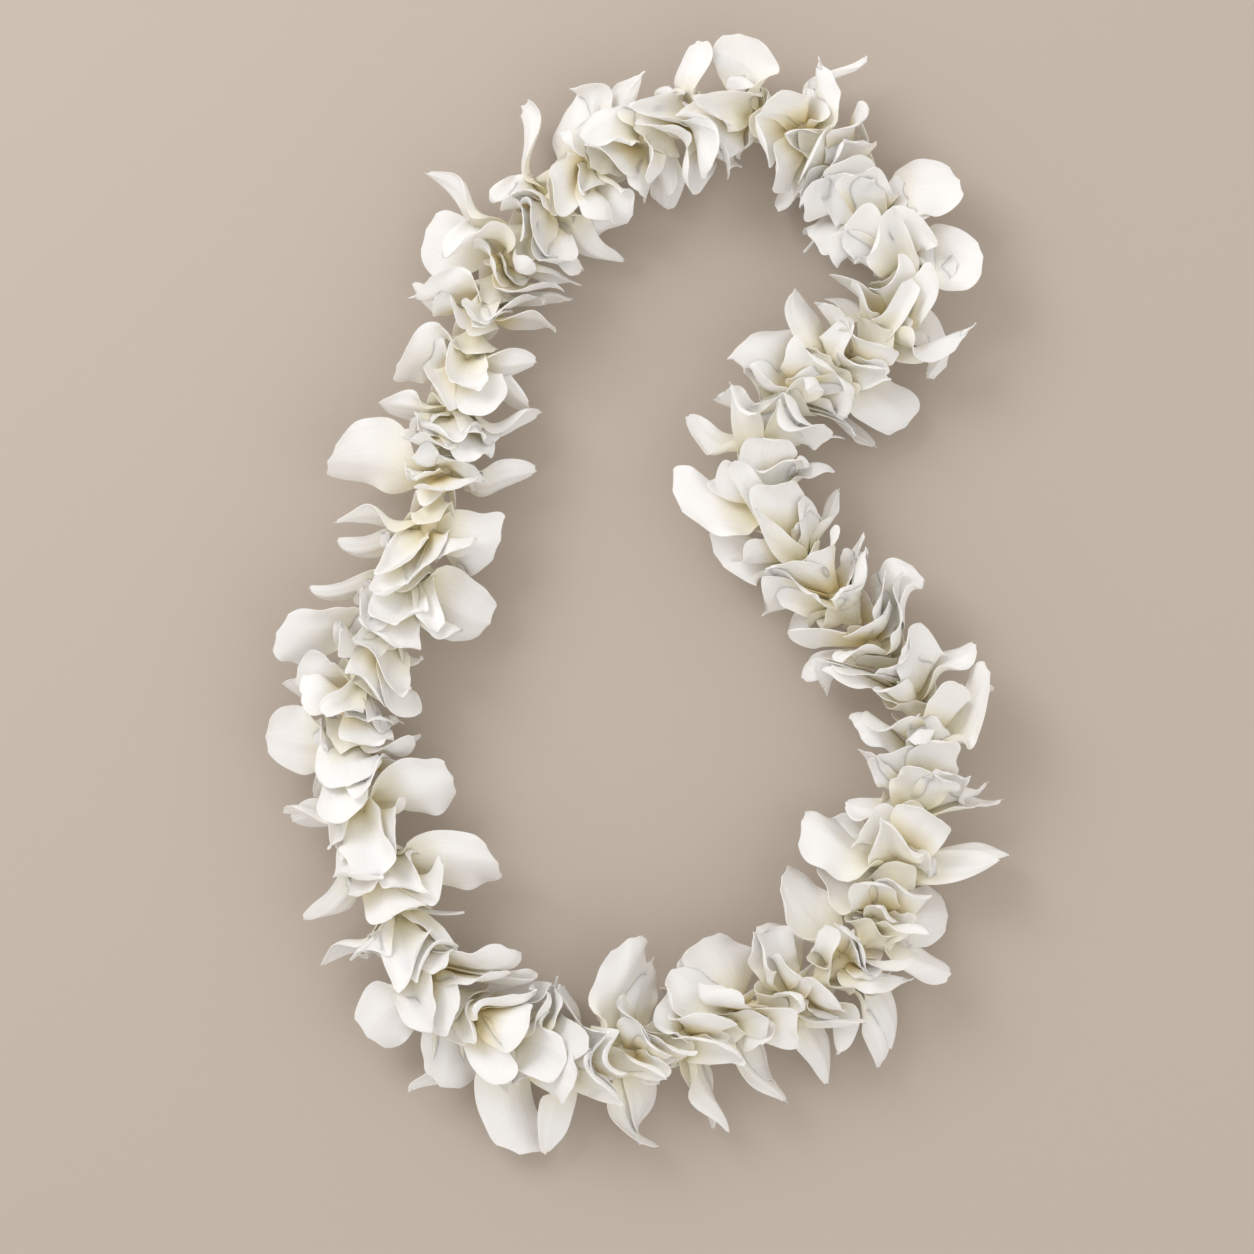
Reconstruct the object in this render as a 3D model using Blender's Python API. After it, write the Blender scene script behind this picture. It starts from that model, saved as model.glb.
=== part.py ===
"""A lei of white orchids: whole blooms threaded front to back on one closed string.

The lei lies on a table with +Z up and the origin under the middle of its box, on the table.
Every place on it is first worked out in string coordinates: s along the string, an angle round
it (0 to the string's left, a quarter turn up) and a radius from it. A bloom is a leaf of space,
a function s(angle, radius). The leaves of neighbours are kept in order along the string, so
that petals laid in their own bloom's leaf never cross the petals of another bloom.
"""
import math
import random
from collections import namedtuple

import bmesh
import bpy
import numpy as np

MM = 0.001
SEED = 7

# The plan: hand-read places are in plan units, from the upper left corner, y down.
PLAN_UNIT = 0.39 * MM
PLAN_CENTRE = (640.2, 598.0)
ROUTE = [
    (700, 121), (602, 157), (532, 226), (487, 300), (456, 400), (434, 510), (385, 635), (352, 750),
    (390, 880), (432, 970), (502, 1032), (600, 1056), (715, 1022), (810, 985), (874, 925),
    (900, 845), (920, 755), (900, 680), (850, 615), (785, 535), (762, 455), (800, 388),
    (868, 345), (900, 285), (876, 222), (838, 157), (775, 122)]

# The string, and the column in the middle of each bloom that it passes through.
BLOOM_COUNT = 44
STRING_HEIGHT = 22.5 * MM
STRING_RADIUS = 0.65 * MM
STRING_SIDES = 4
SIDE_ANGLES = (np.arange(STRING_SIDES) + 0.5) * 2 * math.pi / STRING_SIDES
HOLE_RADIUS = 1.15 * MM
COLUMN_RINGS = ((-10.6 * MM, 3.6 * MM), (10.2 * MM, 5.6 * MM))
ROOT_SHARE = (0.3, 0.7)
BEND_STEP = 6.0 * MM

# A kind of blade: its half width and thickness, the layers of its bloom that it may lie in, the
# height of its edge's wave, the share of its corners that is drawn in, the powers of its outline
# towards root and tip, how far its face turns to the sky, and the rows that cut it across, in a
# small blade and in a large one.
Kind = namedtuple("Kind", "half_width thickness layers wave cup rise fall turn rows large_rows")
KINDS = {
    "petal": Kind(14.0 * MM, 0.8 * MM, (0, 1, -1), 0.5 * MM, 0.35, 0.62, 0.5, 1.25,
                  (0.45, 0.82), (0.3, 0.62, 0.88)),
    "sepal": Kind(7.6 * MM, 0.8 * MM, (-1, 0, 1), 0.3 * MM, 0.2, 0.5, 0.8, 1.15,
                  (0.5,), (0.3, 0.72)),
    "lip": Kind(10.0 * MM, 0.8 * MM, (1, 2, 0), 0.5 * MM, 0.6, 0.6, 0.3, 0.3,
                (0.7,), (0.4, 0.88)),
    "lobe": Kind(12.0 * MM, 0.8 * MM, (0,), 0.4 * MM, 0.5, 0.5, 0.42, 0.0,
                 (0.62,), (0.62,)),
    "stalk": Kind(0.9 * MM, 1.5 * MM, (-1, 0, 1), 0.0, 0.0, 0.1, 0.1, 0.0,
                  (0.9,), (0.9,)),
}
ROOT_RADIUS = 2.0 * MM
LAYER = 2.4 * MM
LONGEST_REACH = 46.0 * MM
LARGE_REACH = 21.0 * MM
BEND_SHARE = 0.8
LEAN_POWER = 1.2
LEAN_POWER_UP = 0.4
WAVES = 1.3
SEEN_SCALE = (0.95, 1.06)

# Tepals out of sight, which make each bloom whole.
TEPALS_PER_BLOOM = 5
UPPER_BONUS = 0.35
SCATTER = 0.15
HIDDEN_REACH = (26.0 * MM, 30.0 * MM)
HIDDEN_SET_BACK = (2.0 * MM, 5.0 * MM)
HIDDEN_LEAN = 0.6
HIDDEN_SCALE = (0.9, 1.0)
HIDDEN_LIP_REACH = 16.0 * MM
HIDDEN_LIP_ALONG = 11.0 * MM
LIP_SCATTER = 0.1
LIP_SPAN = (0.15 * math.pi, 0.85 * math.pi)
TOP_SINE = 0.7
OVERLAP_AT = 0.6
OVERLAP_SHARE = 1.6

# The lip's side lobe: where it may stand, its reach and how much longer it is at the side, and
# its root's and tip's shares of the free space in front of the tepals.
LOBE_SPAN = (0.02 * math.pi, 0.98 * math.pi)
LOBE_PLACES = 41
LOBE_REACH = 22.5 * MM
LOBE_SIDE_BONUS = 0.2
LOBE_SHARES = (0.08, 0.42)
LOBE_POWER = 0.8
LOBE_PHASE = 1.7

# The table: how far past it a hidden tepal may be laid, and the height under which a blade
# settles on it.
LAID = 8.0 * MM
EASING = 1.5 * MM
SETTLED = 2.0 * MM
LYING = 0.001 * MM

# Tips seen from above: kind, plan x, plan y, height of the tip over the table in mm.
P, S, L, K = "petal", "sepal", "lip", "stalk"
TIPS = {
    1: [(S, 686, 47, 30), (P, 619, 124, 39), (S, 738, 169, 20)],
    2: [(P, 656, 73, 30), (P, 565, 150, 40), (S, 697, 187, 16), (S, 649, 216, 10)],
    3: [(S, 557, 92, 28), (P, 611, 78, 24), (P, 611, 237, 24), (S, 570, 210, 38)],
    4: [(P, 497, 200, 38), (P, 530, 262, 42), (S, 528, 102, 20), (S, 614, 275, 14)],
    5: [(S, 418, 160, 26), (P, 417, 238, 18), (P, 442, 258, 38), (L, 505, 285, 34)],
    6: [(P, 421, 303, 36), (P, 540, 283, 34), (S, 401, 303, 18), (S, 568, 302, 12),
        (L, 476, 368, 38)],
    7: [(P, 395, 370, 30), (S, 533, 363, 28), (S, 528, 415, 18), (P, 462, 405, 42)],
    8: [(S, 377, 413, 24), (S, 418, 438, 30), (S, 538, 422, 24), (P, 492, 462, 32),
        (P, 446, 456, 42)],
    9: [(P, 328, 458, 28), (S, 533, 485, 24), (P, 475, 515, 34), (S, 432, 424, 43),
        (L, 402, 516, 34)],
    10: [(P, 500, 535, 32), (S, 331, 524, 30), (S, 463, 614, 26), (P, 376, 592, 38),
         (S, 325, 563, 18)],
    11: [(P, 487, 628, 22), (S, 295, 621, 30), (P, 380, 640, 42)],
    12: [(P, 276, 645, 32), (S, 271, 671, 16), (P, 385, 702, 41), (S, 416, 668, 22)],
    13: [(P, 293, 697, 30), (P, 396, 722, 28), (S, 275, 703, 14), (S, 390, 765, 34),
         (L, 358, 735, 36)],
    14: [(P, 266, 728, 22), (P, 350, 782, 42), (S, 312, 800, 14)],
    15: [(P, 453, 785, 34), (S, 288, 817, 24), (S, 293, 836, 14), (P, 385, 880, 42),
         (S, 347, 884, 32)],
    16: [(P, 500, 860, 24), (S, 319, 955, 22), (P, 430, 905, 38)],
    17: [(S, 348, 955, 32), (S, 317, 963, 14), (S, 480, 972, 36), (P, 428, 1003, 42),
         (P, 374, 975, 26), (K, 468, 919, 24)],
    18: [(P, 528, 962, 38), (P, 373, 1043, 24), (P, 425, 1028, 40)],
    19: [(P, 545, 1003, 38), (P, 490, 1112, 14), (S, 405, 1090, 8), (S, 500, 1046, 41)],
    20: [(S, 545, 1104, 30), (P, 522, 1158, 8), (P, 570, 1056, 41)],
    21: [(P, 634, 1018, 38), (P, 634, 1080, 41), (S, 566, 985, 28), (S, 557, 1161, 14)],
    22: [(P, 643, 936, 34), (P, 615, 980, 24), (S, 690, 1060, 41), (S, 677, 1151, 12),
         (S, 604, 1150, 8)],
    23: [(P, 755, 1038, 41), (P, 658, 1008, 34), (S, 752, 1124, 16), (S, 722, 1129, 6)],
    24: [(P, 684, 966, 34), (P, 693, 940, 26), (S, 797, 1101, 18), (S, 770, 1098, 6),
         (S, 792, 1004, 41)],
    25: [(P, 788, 918, 34), (P, 754, 924, 26), (S, 884, 1010, 36), (S, 850, 1080, 10)],
    26: [(P, 774, 879, 30), (S, 840, 910, 38), (P, 907, 968, 34), (S, 950, 1003, 14),
         (S, 880, 1098, 12)],
    27: [(P, 819, 850, 18), (S, 957, 958, 22), (P, 958, 908, 8), (S, 884, 892, 41),
         (K, 867, 880, 26)],
    28: [(P, 891, 809, 43), (P, 806, 813, 28), (S, 815, 828, 16), (S, 1020, 824, 16),
         (S, 1000, 868, 24)],
    29: [(P, 918, 742, 42), (P, 957, 745, 38), (S, 994, 762, 26), (S, 849, 797, 24),
         (S, 1005, 799, 16)],
    30: [(P, 985, 658, 34), (S, 990, 673, 20), (P, 852, 710, 30), (S, 885, 757, 12),
         (L, 926, 706, 38)],
    31: [(P, 815, 650, 34), (P, 904, 622, 43), (S, 970, 640, 30)],
    32: [(P, 880, 556, 38), (P, 925, 580, 32), (S, 782, 656, 18), (S, 890, 578, 20)],
    33: [(P, 752, 553, 36), (P, 848, 546, 36), (S, 776, 621, 10), (S, 866, 533, 26)],
    34: [(S, 747, 468, 43), (S, 803, 490, 38), (P, 709, 540, 20)],
    35: [(P, 676, 478, 32), (P, 790, 442, 40), (S, 841, 454, 26)],
    36: [(S, 757, 360, 43), (P, 812, 372, 38), (S, 687, 415, 22), (S, 872, 426, 22)],
    37: [(P, 720, 370, 30), (P, 795, 327, 34), (S, 879, 401, 24), (S, 888, 440, 8),
         (L, 840, 374, 38), (K, 852, 438, 20)],
    38: [(S, 787, 290, 30), (S, 848, 320, 40), (P, 910, 350, 36), (P, 916, 422, 16)],
    39: [(P, 968, 308, 32), (P, 948, 368, 14), (S, 905, 262, 42)],
    40: [(P, 878, 203, 43), (S, 940, 219, 28), (P, 985, 272, 30), (P, 838, 246, 28)],
    41: [(P, 808, 240, 26), (P, 952, 178, 34), (S, 890, 144, 36), (P, 820, 180, 41),
         (K, 803, 248, 16)],
    42: [(S, 855, 113, 30), (S, 808, 126, 38), (P, 830, 150, 42), (L, 790, 190, 30)],
    43: [(P, 784, 60, 34), (S, 867, 58, 24), (P, 785, 216, 16), (S, 762, 132, 40)],
    44: [(P, 678, 112, 41), (P, 740, 35, 32), (S, 722, 50, 24), (S, 733, 160, 26)],
}

# The leaves of space: their grid, the gap between the blades of two leaves, and the weights
# with which blades hold them.
ANGLE_STEPS = 120
RADIUS_STEPS = 22
LEAF_GAP = 4.2 * MM
EMPTY_LEAF = 0.15
SEEN_WEIGHT = 6.0
SLACK = 0.02
LEAN_OF_EMPTY = 1.8
EMPTY_RADIUS = 30.0 * MM
COVER_MARGIN = 1.5 * MM
COVER_PAST_TIP = 4.0 * MM
COVER_FADE = 3.0 * MM
HOLD_EDGE = 1.7
SOLID_EDGE = 2.2
EDGE_ON_WIDTH = 0.25
TURN_LIMIT = 0.7
TIGHTEST_BEND = 0.4
BASE_STIFFNESS = 0.2
ROUNDS = 700
LAST_ROUNDS = 400
BLUR_EVERY = 20
WIDEN_ROUNDS = 2
SOFTEN_ROUNDS = 4
EASE = 0.25
PUSH = 0.45

# Blades are measured along their leaf, fanned out to each side of their middle rib.
RIB_STEPS = 60
FAN_STEPS = 81
FAN = 1.25

# Clearing up after a union: specks merged, nearly flat neighbours joined.
MERGE = 0.01 * MM
FLAT = math.radians(5.2)

PETAL_COLOUR = (0.87, 0.85, 0.79, 1.0)
PETAL_ROUGHNESS = 0.5
STRING_COLOUR = (0.83, 0.81, 0.74, 1.0)
STRING_ROUGHNESS = 0.7

# A blade in string coordinates. Shares are a lobe's, in the free space; other blades lie in
# their bloom's own leaf.
Tepal = namedtuple("Tepal", "kind angle reach along turn power scale seen phase layer shares",
                   defaults=(None,))


def closed_spline(points, per_span=40):
    """A closed cubic spline with even knots: its second derivatives solve a cyclic system."""
    points = np.array(points, float)
    eye = np.eye(len(points))
    system = 4 * eye + np.roll(eye, 1, 0) + np.roll(eye, -1, 0)
    bend = np.linalg.solve(
        system, 6 * (np.roll(points, -1, 0) - 2 * points + np.roll(points, 1, 0)))
    t = np.linspace(0, 1, per_span, endpoint=False)[None, :, None]
    start, stop = points[:, None], np.roll(points, -1, 0)[:, None]
    bend_start, bend_stop = bend[:, None], np.roll(bend, -1, 0)[:, None]
    curve = ((1 - t) * start + t * stop + ((1 - t) ** 3 - (1 - t)) * bend_start / 6
             + (t ** 3 - t) * bend_stop / 6)
    return curve.reshape(-1, 2)


def plan_to_metres(points):
    """Plan units, y down, to metres on the table, y up."""
    return (np.asarray(points, float) - PLAN_CENTRE) * (PLAN_UNIT, -PLAN_UNIT)


def wrapped(angle):
    """An angle brought between minus and plus half a turn."""
    return (angle + math.pi) % (2 * math.pi) - math.pi


class StringLine:
    """The string's closed centreline, level over the table, read by its own length."""

    def __init__(self):
        curve = plan_to_metres(closed_spline(ROUTE))
        steps = np.linalg.norm(np.roll(curve, -1, 0) - curve, axis=1)
        self.length = float(steps.sum())
        self.arc = np.concatenate([[0.0], np.cumsum(steps)])
        self.points = np.vstack([curve, curve[:1]])
        ahead = np.roll(curve, -1, 0) - np.roll(curve, 1, 0)
        heading = np.unwrap(np.arctan2(ahead[:, 1], ahead[:, 0]))
        full_turn = 2 * math.pi * round((heading[-1] - heading[0]) / (2 * math.pi))
        self.heading = np.concatenate([heading, [heading[0] + full_turn]])

    def at(self, s):
        """Plan place and left-hand side vector at a length along the string."""
        s = s - np.floor(s / self.length) * self.length
        x = np.interp(s, self.arc, self.points[:, 0])
        y = np.interp(s, self.arc, self.points[:, 1])
        heading = np.interp(s, self.arc, self.heading)
        return x, y, -np.sin(heading), np.cos(heading)

    def bend(self, s):
        """Signed curvature, positive where the string turns to its left."""
        behind, ahead = (np.interp((s + step) % self.length, self.arc, self.heading)
                         for step in (-BEND_STEP, BEND_STEP))
        return wrapped(ahead - behind) / (2 * BEND_STEP)

    def place(self, s, angle, radius):
        """The point at s along the string, turned by angle round it, radius away."""
        x, y, side_x, side_y = self.at(s)
        side = radius * np.cos(angle)
        up = STRING_HEIGHT + radius * np.sin(angle)
        return np.stack([x + side * side_x, y + side * side_y, up], -1)

    def locate(self, point, near, window=56 * MM, steps=449):
        """String coordinates (s, side) of a plan point, looked for near a length."""
        s = near + np.linspace(-window, window, steps)
        x, y, side_x, side_y = self.at(s)
        best = int(np.argmin((x - point[0]) ** 2 + (y - point[1]) ** 2))
        side = (point[0] - x[best]) * side_x[best] + (point[1] - y[best]) * side_y[best]
        return float(s[best]), float(side)


def face_turn(kind, angle):
    """How far a blade at an angle round the string turns its face up to the sky."""
    return -KINDS[kind].turn * math.cos(angle)


def seen_tepals(line, number, station, rng):
    """The tepals of one bloom whose tips are seen from above."""
    tepals = []
    for kind, x, y, height in TIPS[number]:
        s, side = line.locate(plan_to_metres((x, y)), station)
        rise = height * MM - STRING_HEIGHT
        angle = math.atan2(rise, side)
        reach = min(math.hypot(rise, side), LONGEST_REACH)
        inside = line.bend(s) * math.cos(angle)
        if inside * reach > BEND_SHARE:
            reach = BEND_SHARE / inside
        power = LEAN_POWER + LEAN_POWER_UP * max(0.0, math.sin(angle))
        tepals.append(Tepal(kind, angle, reach, s - station, face_turn(kind, angle), power,
                            rng.uniform(*SEEN_SCALE), True, rng.uniform(0, 2 * math.pi), 0))
    return tepals


def whole_bloom(seen, rng):
    """The seen tepals with hidden ones in the widest gaps round the string, and a lip."""
    tepals = list(seen)
    petals = sum(t.kind == "petal" for t in seen)
    present = sum(t.kind in ("petal", "sepal") for t in seen)
    for _ in range(TEPALS_PER_BLOOM - present):
        kind = "petal" if petals < 2 else "sepal"
        petals += kind == "petal"
        angles = sorted(t.angle % (2 * math.pi) for t in tepals if t.kind in ("petal", "sepal"))
        gaps = [((b - a) * (1 + UPPER_BONUS * math.sin((a + b) / 2)), (a + b) / 2) for a, b in
                zip(angles, angles[1:] + [angles[0] + 2 * math.pi])]
        angle = wrapped(max(gaps)[1] + rng.uniform(-SCATTER, SCATTER))
        tepals.append(hidden_tepal(kind, angle, seen, rng))
    if not any(t.kind == "lip" for t in tepals):
        tepals.append(hidden_lip(tepals, rng))
    return layered(tepals)


def hidden_tepal(kind, angle, seen, rng):
    """One tepal out of sight: it leans as its bloom does and stops at the table."""
    lean = HIDDEN_LEAN * sum(t.along for t in seen) / len(seen)
    reach = rng.uniform(*HIDDEN_REACH)
    if angle < 0:
        reach = min(reach, (STRING_HEIGHT + LAID) / -math.sin(angle))
    return Tepal(kind, angle, reach, lean + rng.uniform(*HIDDEN_SET_BACK),
                 face_turn(kind, angle), LEAN_POWER, rng.uniform(*HIDDEN_SCALE), False,
                 rng.uniform(0, 2 * math.pi), 0)


def hidden_lip(tepals, rng):
    """A short lip on the upper side, beside the tepals that stand up there."""
    tops = [t.angle for t in tepals if math.sin(t.angle) > TOP_SINE]
    angle = 0.5 * math.pi if not tops else 1.5 * math.pi - sum(tops) / len(tops)
    angle = min(max(angle, LIP_SPAN[0]), LIP_SPAN[1]) + rng.uniform(-LIP_SCATTER, LIP_SCATTER)
    return Tepal("lip", angle, HIDDEN_LIP_REACH, HIDDEN_LIP_ALONG, 0.0, LEAN_POWER, 1.0, False,
                 0.0, 0)


def layered(tepals):
    """Put tepals that overlap, seen along the string, in different layers of their bloom."""
    placed = []
    for tepal in sorted(tepals, key=lambda t: -t.reach):
        taken = set()
        for other in placed:
            middle = OVERLAP_AT * min(tepal.reach, other.reach)
            widths = KINDS[tepal.kind].half_width + KINDS[other.kind].half_width
            apart = abs(wrapped(tepal.angle - other.angle))
            if apart < OVERLAP_SHARE * math.atan2(widths, 2 * middle):
                taken.add(other.layer)
        layers = KINDS[tepal.kind].layers
        free = [layer for layer in layers if layer not in taken]
        placed.append(tepal._replace(layer=free[0] if free else layers[0]))
    return placed


def side_lobe(index, tepals):
    """The lip's side lobe, in the widest gap on the upper side of a bloom."""
    taken = [tepal.angle for tepal in tepals]
    angle = max(np.linspace(*LOBE_SPAN, LOBE_PLACES),
                key=lambda a: min(abs(wrapped(a - other)) for other in taken))
    reach = LOBE_REACH * (1.0 + LOBE_SIDE_BONUS * abs(math.cos(angle)))
    return Tepal("lobe", float(angle), reach, 0.0, 0.0, 1.0, 1.0, True, index * LOBE_PHASE, 0,
                 LOBE_SHARES)


def blur(field):
    """Soften fields over their angle, which closes, and their radius, which doesn't."""
    field = 0.5 * field + 0.25 * (np.roll(field, 1, 1) + np.roll(field, -1, 1))
    wider = np.concatenate([field[:, :, :1], field, field[:, :, -1:]], 2)
    return 0.5 * field + 0.25 * (wider[:, :, :-2] + wider[:, :, 2:])


def widened(field):
    """Spread the high places of fields to their neighbours, twice, and soften the result."""
    for _ in range(WIDEN_ROUNDS):
        field = np.maximum(field, np.maximum(np.roll(field, 1, 1), np.roll(field, -1, 1)))
        wider = np.concatenate([field[:, :, :1], field, field[:, :, -1:]], 2)
        field = np.maximum(field, np.maximum(wider[:, :, :-2], wider[:, :, 2:]))
    for _ in range(SOFTEN_ROUNDS):
        field = blur(field)
    return field


class Leaves:
    """s(angle, radius) for every bloom, kept in order along the string."""

    def __init__(self, line, stations, blooms):
        self.angles = np.linspace(0, 2 * math.pi, ANGLE_STEPS, endpoint=False)
        self.radii = np.linspace(ROOT_RADIUS, LONGEST_REACH + 2 * MM, RADIUS_STEPS)
        shape = (len(blooms), ANGLE_STEPS, RADIUS_STEPS)
        wish, weight = np.zeros(shape), np.zeros(shape)
        solid = np.full(shape, EMPTY_LEAF)
        upper, lower = np.zeros(shape), np.zeros(shape)
        for index, tepals in enumerate(blooms):
            for tepal in tepals:
                cover = self.ask(wish[index], weight[index], tepal)
                solid[index] = np.maximum(solid[index], cover)
                upper[index] = np.maximum(upper[index], cover * tepal.layer * LAYER)
                lower[index] = np.minimum(lower[index], cover * tepal.layer * LAYER)
        mean = wish.sum((1, 2), keepdims=True) / weight.sum((1, 2), keepdims=True)
        spread = np.clip(self.radii / EMPTY_RADIUS, 0, 1)[None, None, :]
        wish = (wish + SLACK * LEAN_OF_EMPTY * mean * spread) / (weight + SLACK)
        wish += np.array(stations)[:, None, None]
        self.field = wish.copy()
        self.order(line, stations, wish, weight + SLACK, (solid, upper, lower))
        self.length = line.length
        self.front = self.field + widened(upper)
        self.back = self.field - widened(-lower)

    def ask(self, wish, weight, tepal):
        """Add one tepal's wished s to the nodes that its blade covers, and return the cover."""
        kind = KINDS[tepal.kind]
        turn = wrapped(self.angles - tepal.angle)[:, None]
        share = np.clip((self.radii - ROOT_RADIUS) / (tepal.reach - ROOT_RADIUS), 0, 1.2)[None]
        slope = math.tan(tepal.turn) * tepal.reach
        broad = outline(np.clip(share, 0.02, 0.97), kind.rise, kind.fall)
        facing = EDGE_ON_WIDTH + (1 - EDGE_ON_WIDTH) * math.cos(tepal.turn)
        cover = np.arctan2(kind.half_width * broad * facing + COVER_MARGIN, self.radii[None])
        inside = np.clip((tepal.reach + COVER_PAST_TIP - self.radii) / COVER_FADE, 0, 1)[None]
        amount = np.clip(HOLD_EDGE - np.abs(turn) / cover, 0, 1) * inside
        amount = amount * (SEEN_WEIGHT if tepal.seen else 1.0)
        wanted = tepal.along * share ** tepal.power
        wanted = wanted + slope * np.clip(turn, -TURN_LIMIT, TURN_LIMIT) * share
        wish += amount * wanted
        weight += amount
        return np.clip(SOLID_EDGE - np.abs(turn) / cover, 0, 1) * inside

    def order(self, line, stations, wish, weight, stack):
        """Push neighbouring leaves apart where both hold a blade, the lighter one most."""
        curve = np.array([line.bend(s) for s in stations])[:, None, None]
        side = self.radii[None, None, :] * np.cos(self.angles)[None, :, None]
        squeeze = np.clip(1 - curve * side, TIGHTEST_BEND, 1.0)
        ahead = np.roll(np.arange(len(stations)), -1)
        solid, upper, lower = stack
        need = LEAF_GAP * 0.5 * (solid + solid[ahead]) + upper - lower[ahead]
        need = need / np.minimum(squeeze, squeeze[ahead])
        lap = np.zeros((len(stations), 1, 1))
        lap[-1] = line.length
        stiff = weight + BASE_STIFFNESS
        give = stiff[ahead] / (stiff + stiff[ahead])
        for turn in range(ROUNDS):
            if turn < ROUNDS - LAST_ROUNDS:
                target = (weight * wish + blur(self.field)) / (weight + 1.0)
                self.field += EASE * (target - self.field)
            elif turn % BLUR_EVERY == 0:
                self.field = 0.5 * self.field + 0.5 * blur(self.field)
            lack = np.clip(need - (self.field[ahead] + lap - self.field), 0, None)
            self.field -= PUSH * lack * give
            self.field += np.roll(PUSH * lack * (1 - give), 1, 0)

    def between(self, index, share, angle, radius):
        """s at a share of the free space from a bloom's blades to the next bloom's."""
        following = (index + 1) % len(self.field)
        lap = self.length if following == 0 else 0.0
        low = self.read(self.front[index], angle, radius)
        return low + share * (self.read(self.back[following], angle, radius) + lap - low)

    def s_at(self, index, angle, radius):
        """s of one bloom's leaf at any angle and radius."""
        return self.read(self.field[index], angle, radius)

    def read(self, f, angle, radius):
        """A field's values at any angle and radius, between the nodes."""
        a = (angle % (2 * math.pi)) / (2 * math.pi) * ANGLE_STEPS
        r = (radius - self.radii[0]) / (self.radii[1] - self.radii[0])
        r = np.clip(r, 0, RADIUS_STEPS - 1.001)
        a0, r0 = np.floor(a).astype(int), np.floor(r).astype(int)
        fa, fr = a - a0, r - r0
        a0 = a0 % ANGLE_STEPS
        a1 = (a0 + 1) % ANGLE_STEPS
        return ((1 - fa) * ((1 - fr) * f[a0, r0] + fr * f[a0, r0 + 1])
                + fa * ((1 - fr) * f[a1, r0] + fr * f[a1, r0 + 1]))


def outline(v, rise, fall):
    """Half width along a blade: v to the rise times (1 - v) to the fall, 1 at its widest."""
    top = rise / (rise + fall)
    return v ** rise * (1 - v) ** fall / (top ** rise * (1 - top) ** fall)


def on_table(points, half_thickness):
    """Bend points that would pass through the table so that they lie on it."""
    low = points[..., 2] - half_thickness
    eased = np.clip(low + EASING, 0, 2 * EASING) ** 2 / (4 * EASING)
    eased = np.where(low > EASING, low, eased)
    points[..., 2] = half_thickness + np.where(eased < SETTLED, 0.0, eased)
    return points


def blade_sheet(line, leaves, index, tepal, u, v):
    """Mid-surface points of a blade on a grid: u across from -1 to 1, v from root to tip."""
    kind = KINDS[tepal.kind]
    radius = np.linspace(ROOT_RADIUS, tepal.reach, RIB_STEPS)
    rib = leaf_points(line, leaves, index, tepal, np.full(RIB_STEPS, tepal.angle), radius)
    length = np.concatenate([[0], np.cumsum(np.linalg.norm(np.diff(rib, axis=0), axis=1))])
    row = np.interp(v * length[-1], length, radius)[:, None]
    fan = np.linspace(-FAN, FAN, FAN_STEPS)
    fan_points = leaf_points(line, leaves, index, tepal, tepal.angle + fan[None, :],
                             cupped(row, fan[None, :], kind.cup))
    walked = np.cumsum(np.linalg.norm(np.diff(fan_points, axis=1), axis=2), axis=1)
    walked = np.concatenate([np.zeros((len(v), 1)), walked], 1)
    walked -= walked[:, [FAN_STEPS // 2]]
    half = kind.half_width * tepal.scale * outline(v, kind.rise, kind.fall)
    turn = np.stack([np.interp(u * h, w, fan) for h, w in zip(half, walked)])
    return leaf_points(line, leaves, index, tepal, tepal.angle + turn, cupped(row, turn, kind.cup))


def cupped(row, turn, cup):
    """Radius of a row at a turn from its rib: straight across for cup 0, round for cup 1."""
    return row * (1 + (1 / np.cos(turn) - 1) * (1 - cup))


def leaf_s(leaves, index, tepal, angle, radius):
    """Where a blade lies along the string: its bloom's leaf moved by its layer, or for a lobe a
    share of the free space in front, which grows with the radius."""
    if tepal.shares is None:
        return leaves.s_at(index, angle, radius) + tepal.layer * LAYER
    root, tip = tepal.shares
    t = np.clip((radius - ROOT_RADIUS) / (tepal.reach - ROOT_RADIUS), 0, 1)
    return leaves.between(index, root + (tip - root) * t ** LOBE_POWER, angle, radius)


def leaf_points(line, leaves, index, tepal, angle, radius):
    """Points of the surface that a blade lies in."""
    return line.place(leaf_s(leaves, index, tepal, angle, radius), angle, radius)


def sheet_normals(points):
    """Unit normals of a grid of points."""
    across = np.gradient(points, axis=1)
    along = np.gradient(points, axis=0)
    normal = np.cross(across, along)
    return normal / np.maximum(np.linalg.norm(normal, axis=-1, keepdims=True), 1e-12)


def root_point(line, station, s, angle):
    """Where a blade is rooted: beside the hole, which runs straight from ring to ring."""
    start, stop = station + COLUMN_RINGS[0][0], station + COLUMN_RINGS[-1][0]
    share = min(max((s - start) / (stop - start), ROOT_SHARE[0]), ROOT_SHARE[1])
    ends = line.place(np.array([start, stop]), np.zeros(2), np.zeros(2))
    _, _, side_x, side_y = line.at(station)
    side = np.array([side_x * math.cos(angle), side_y * math.cos(angle), math.sin(angle)])
    return (1 - share) * ends[0] + share * ends[1] + ROOT_RADIUS * side


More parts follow.
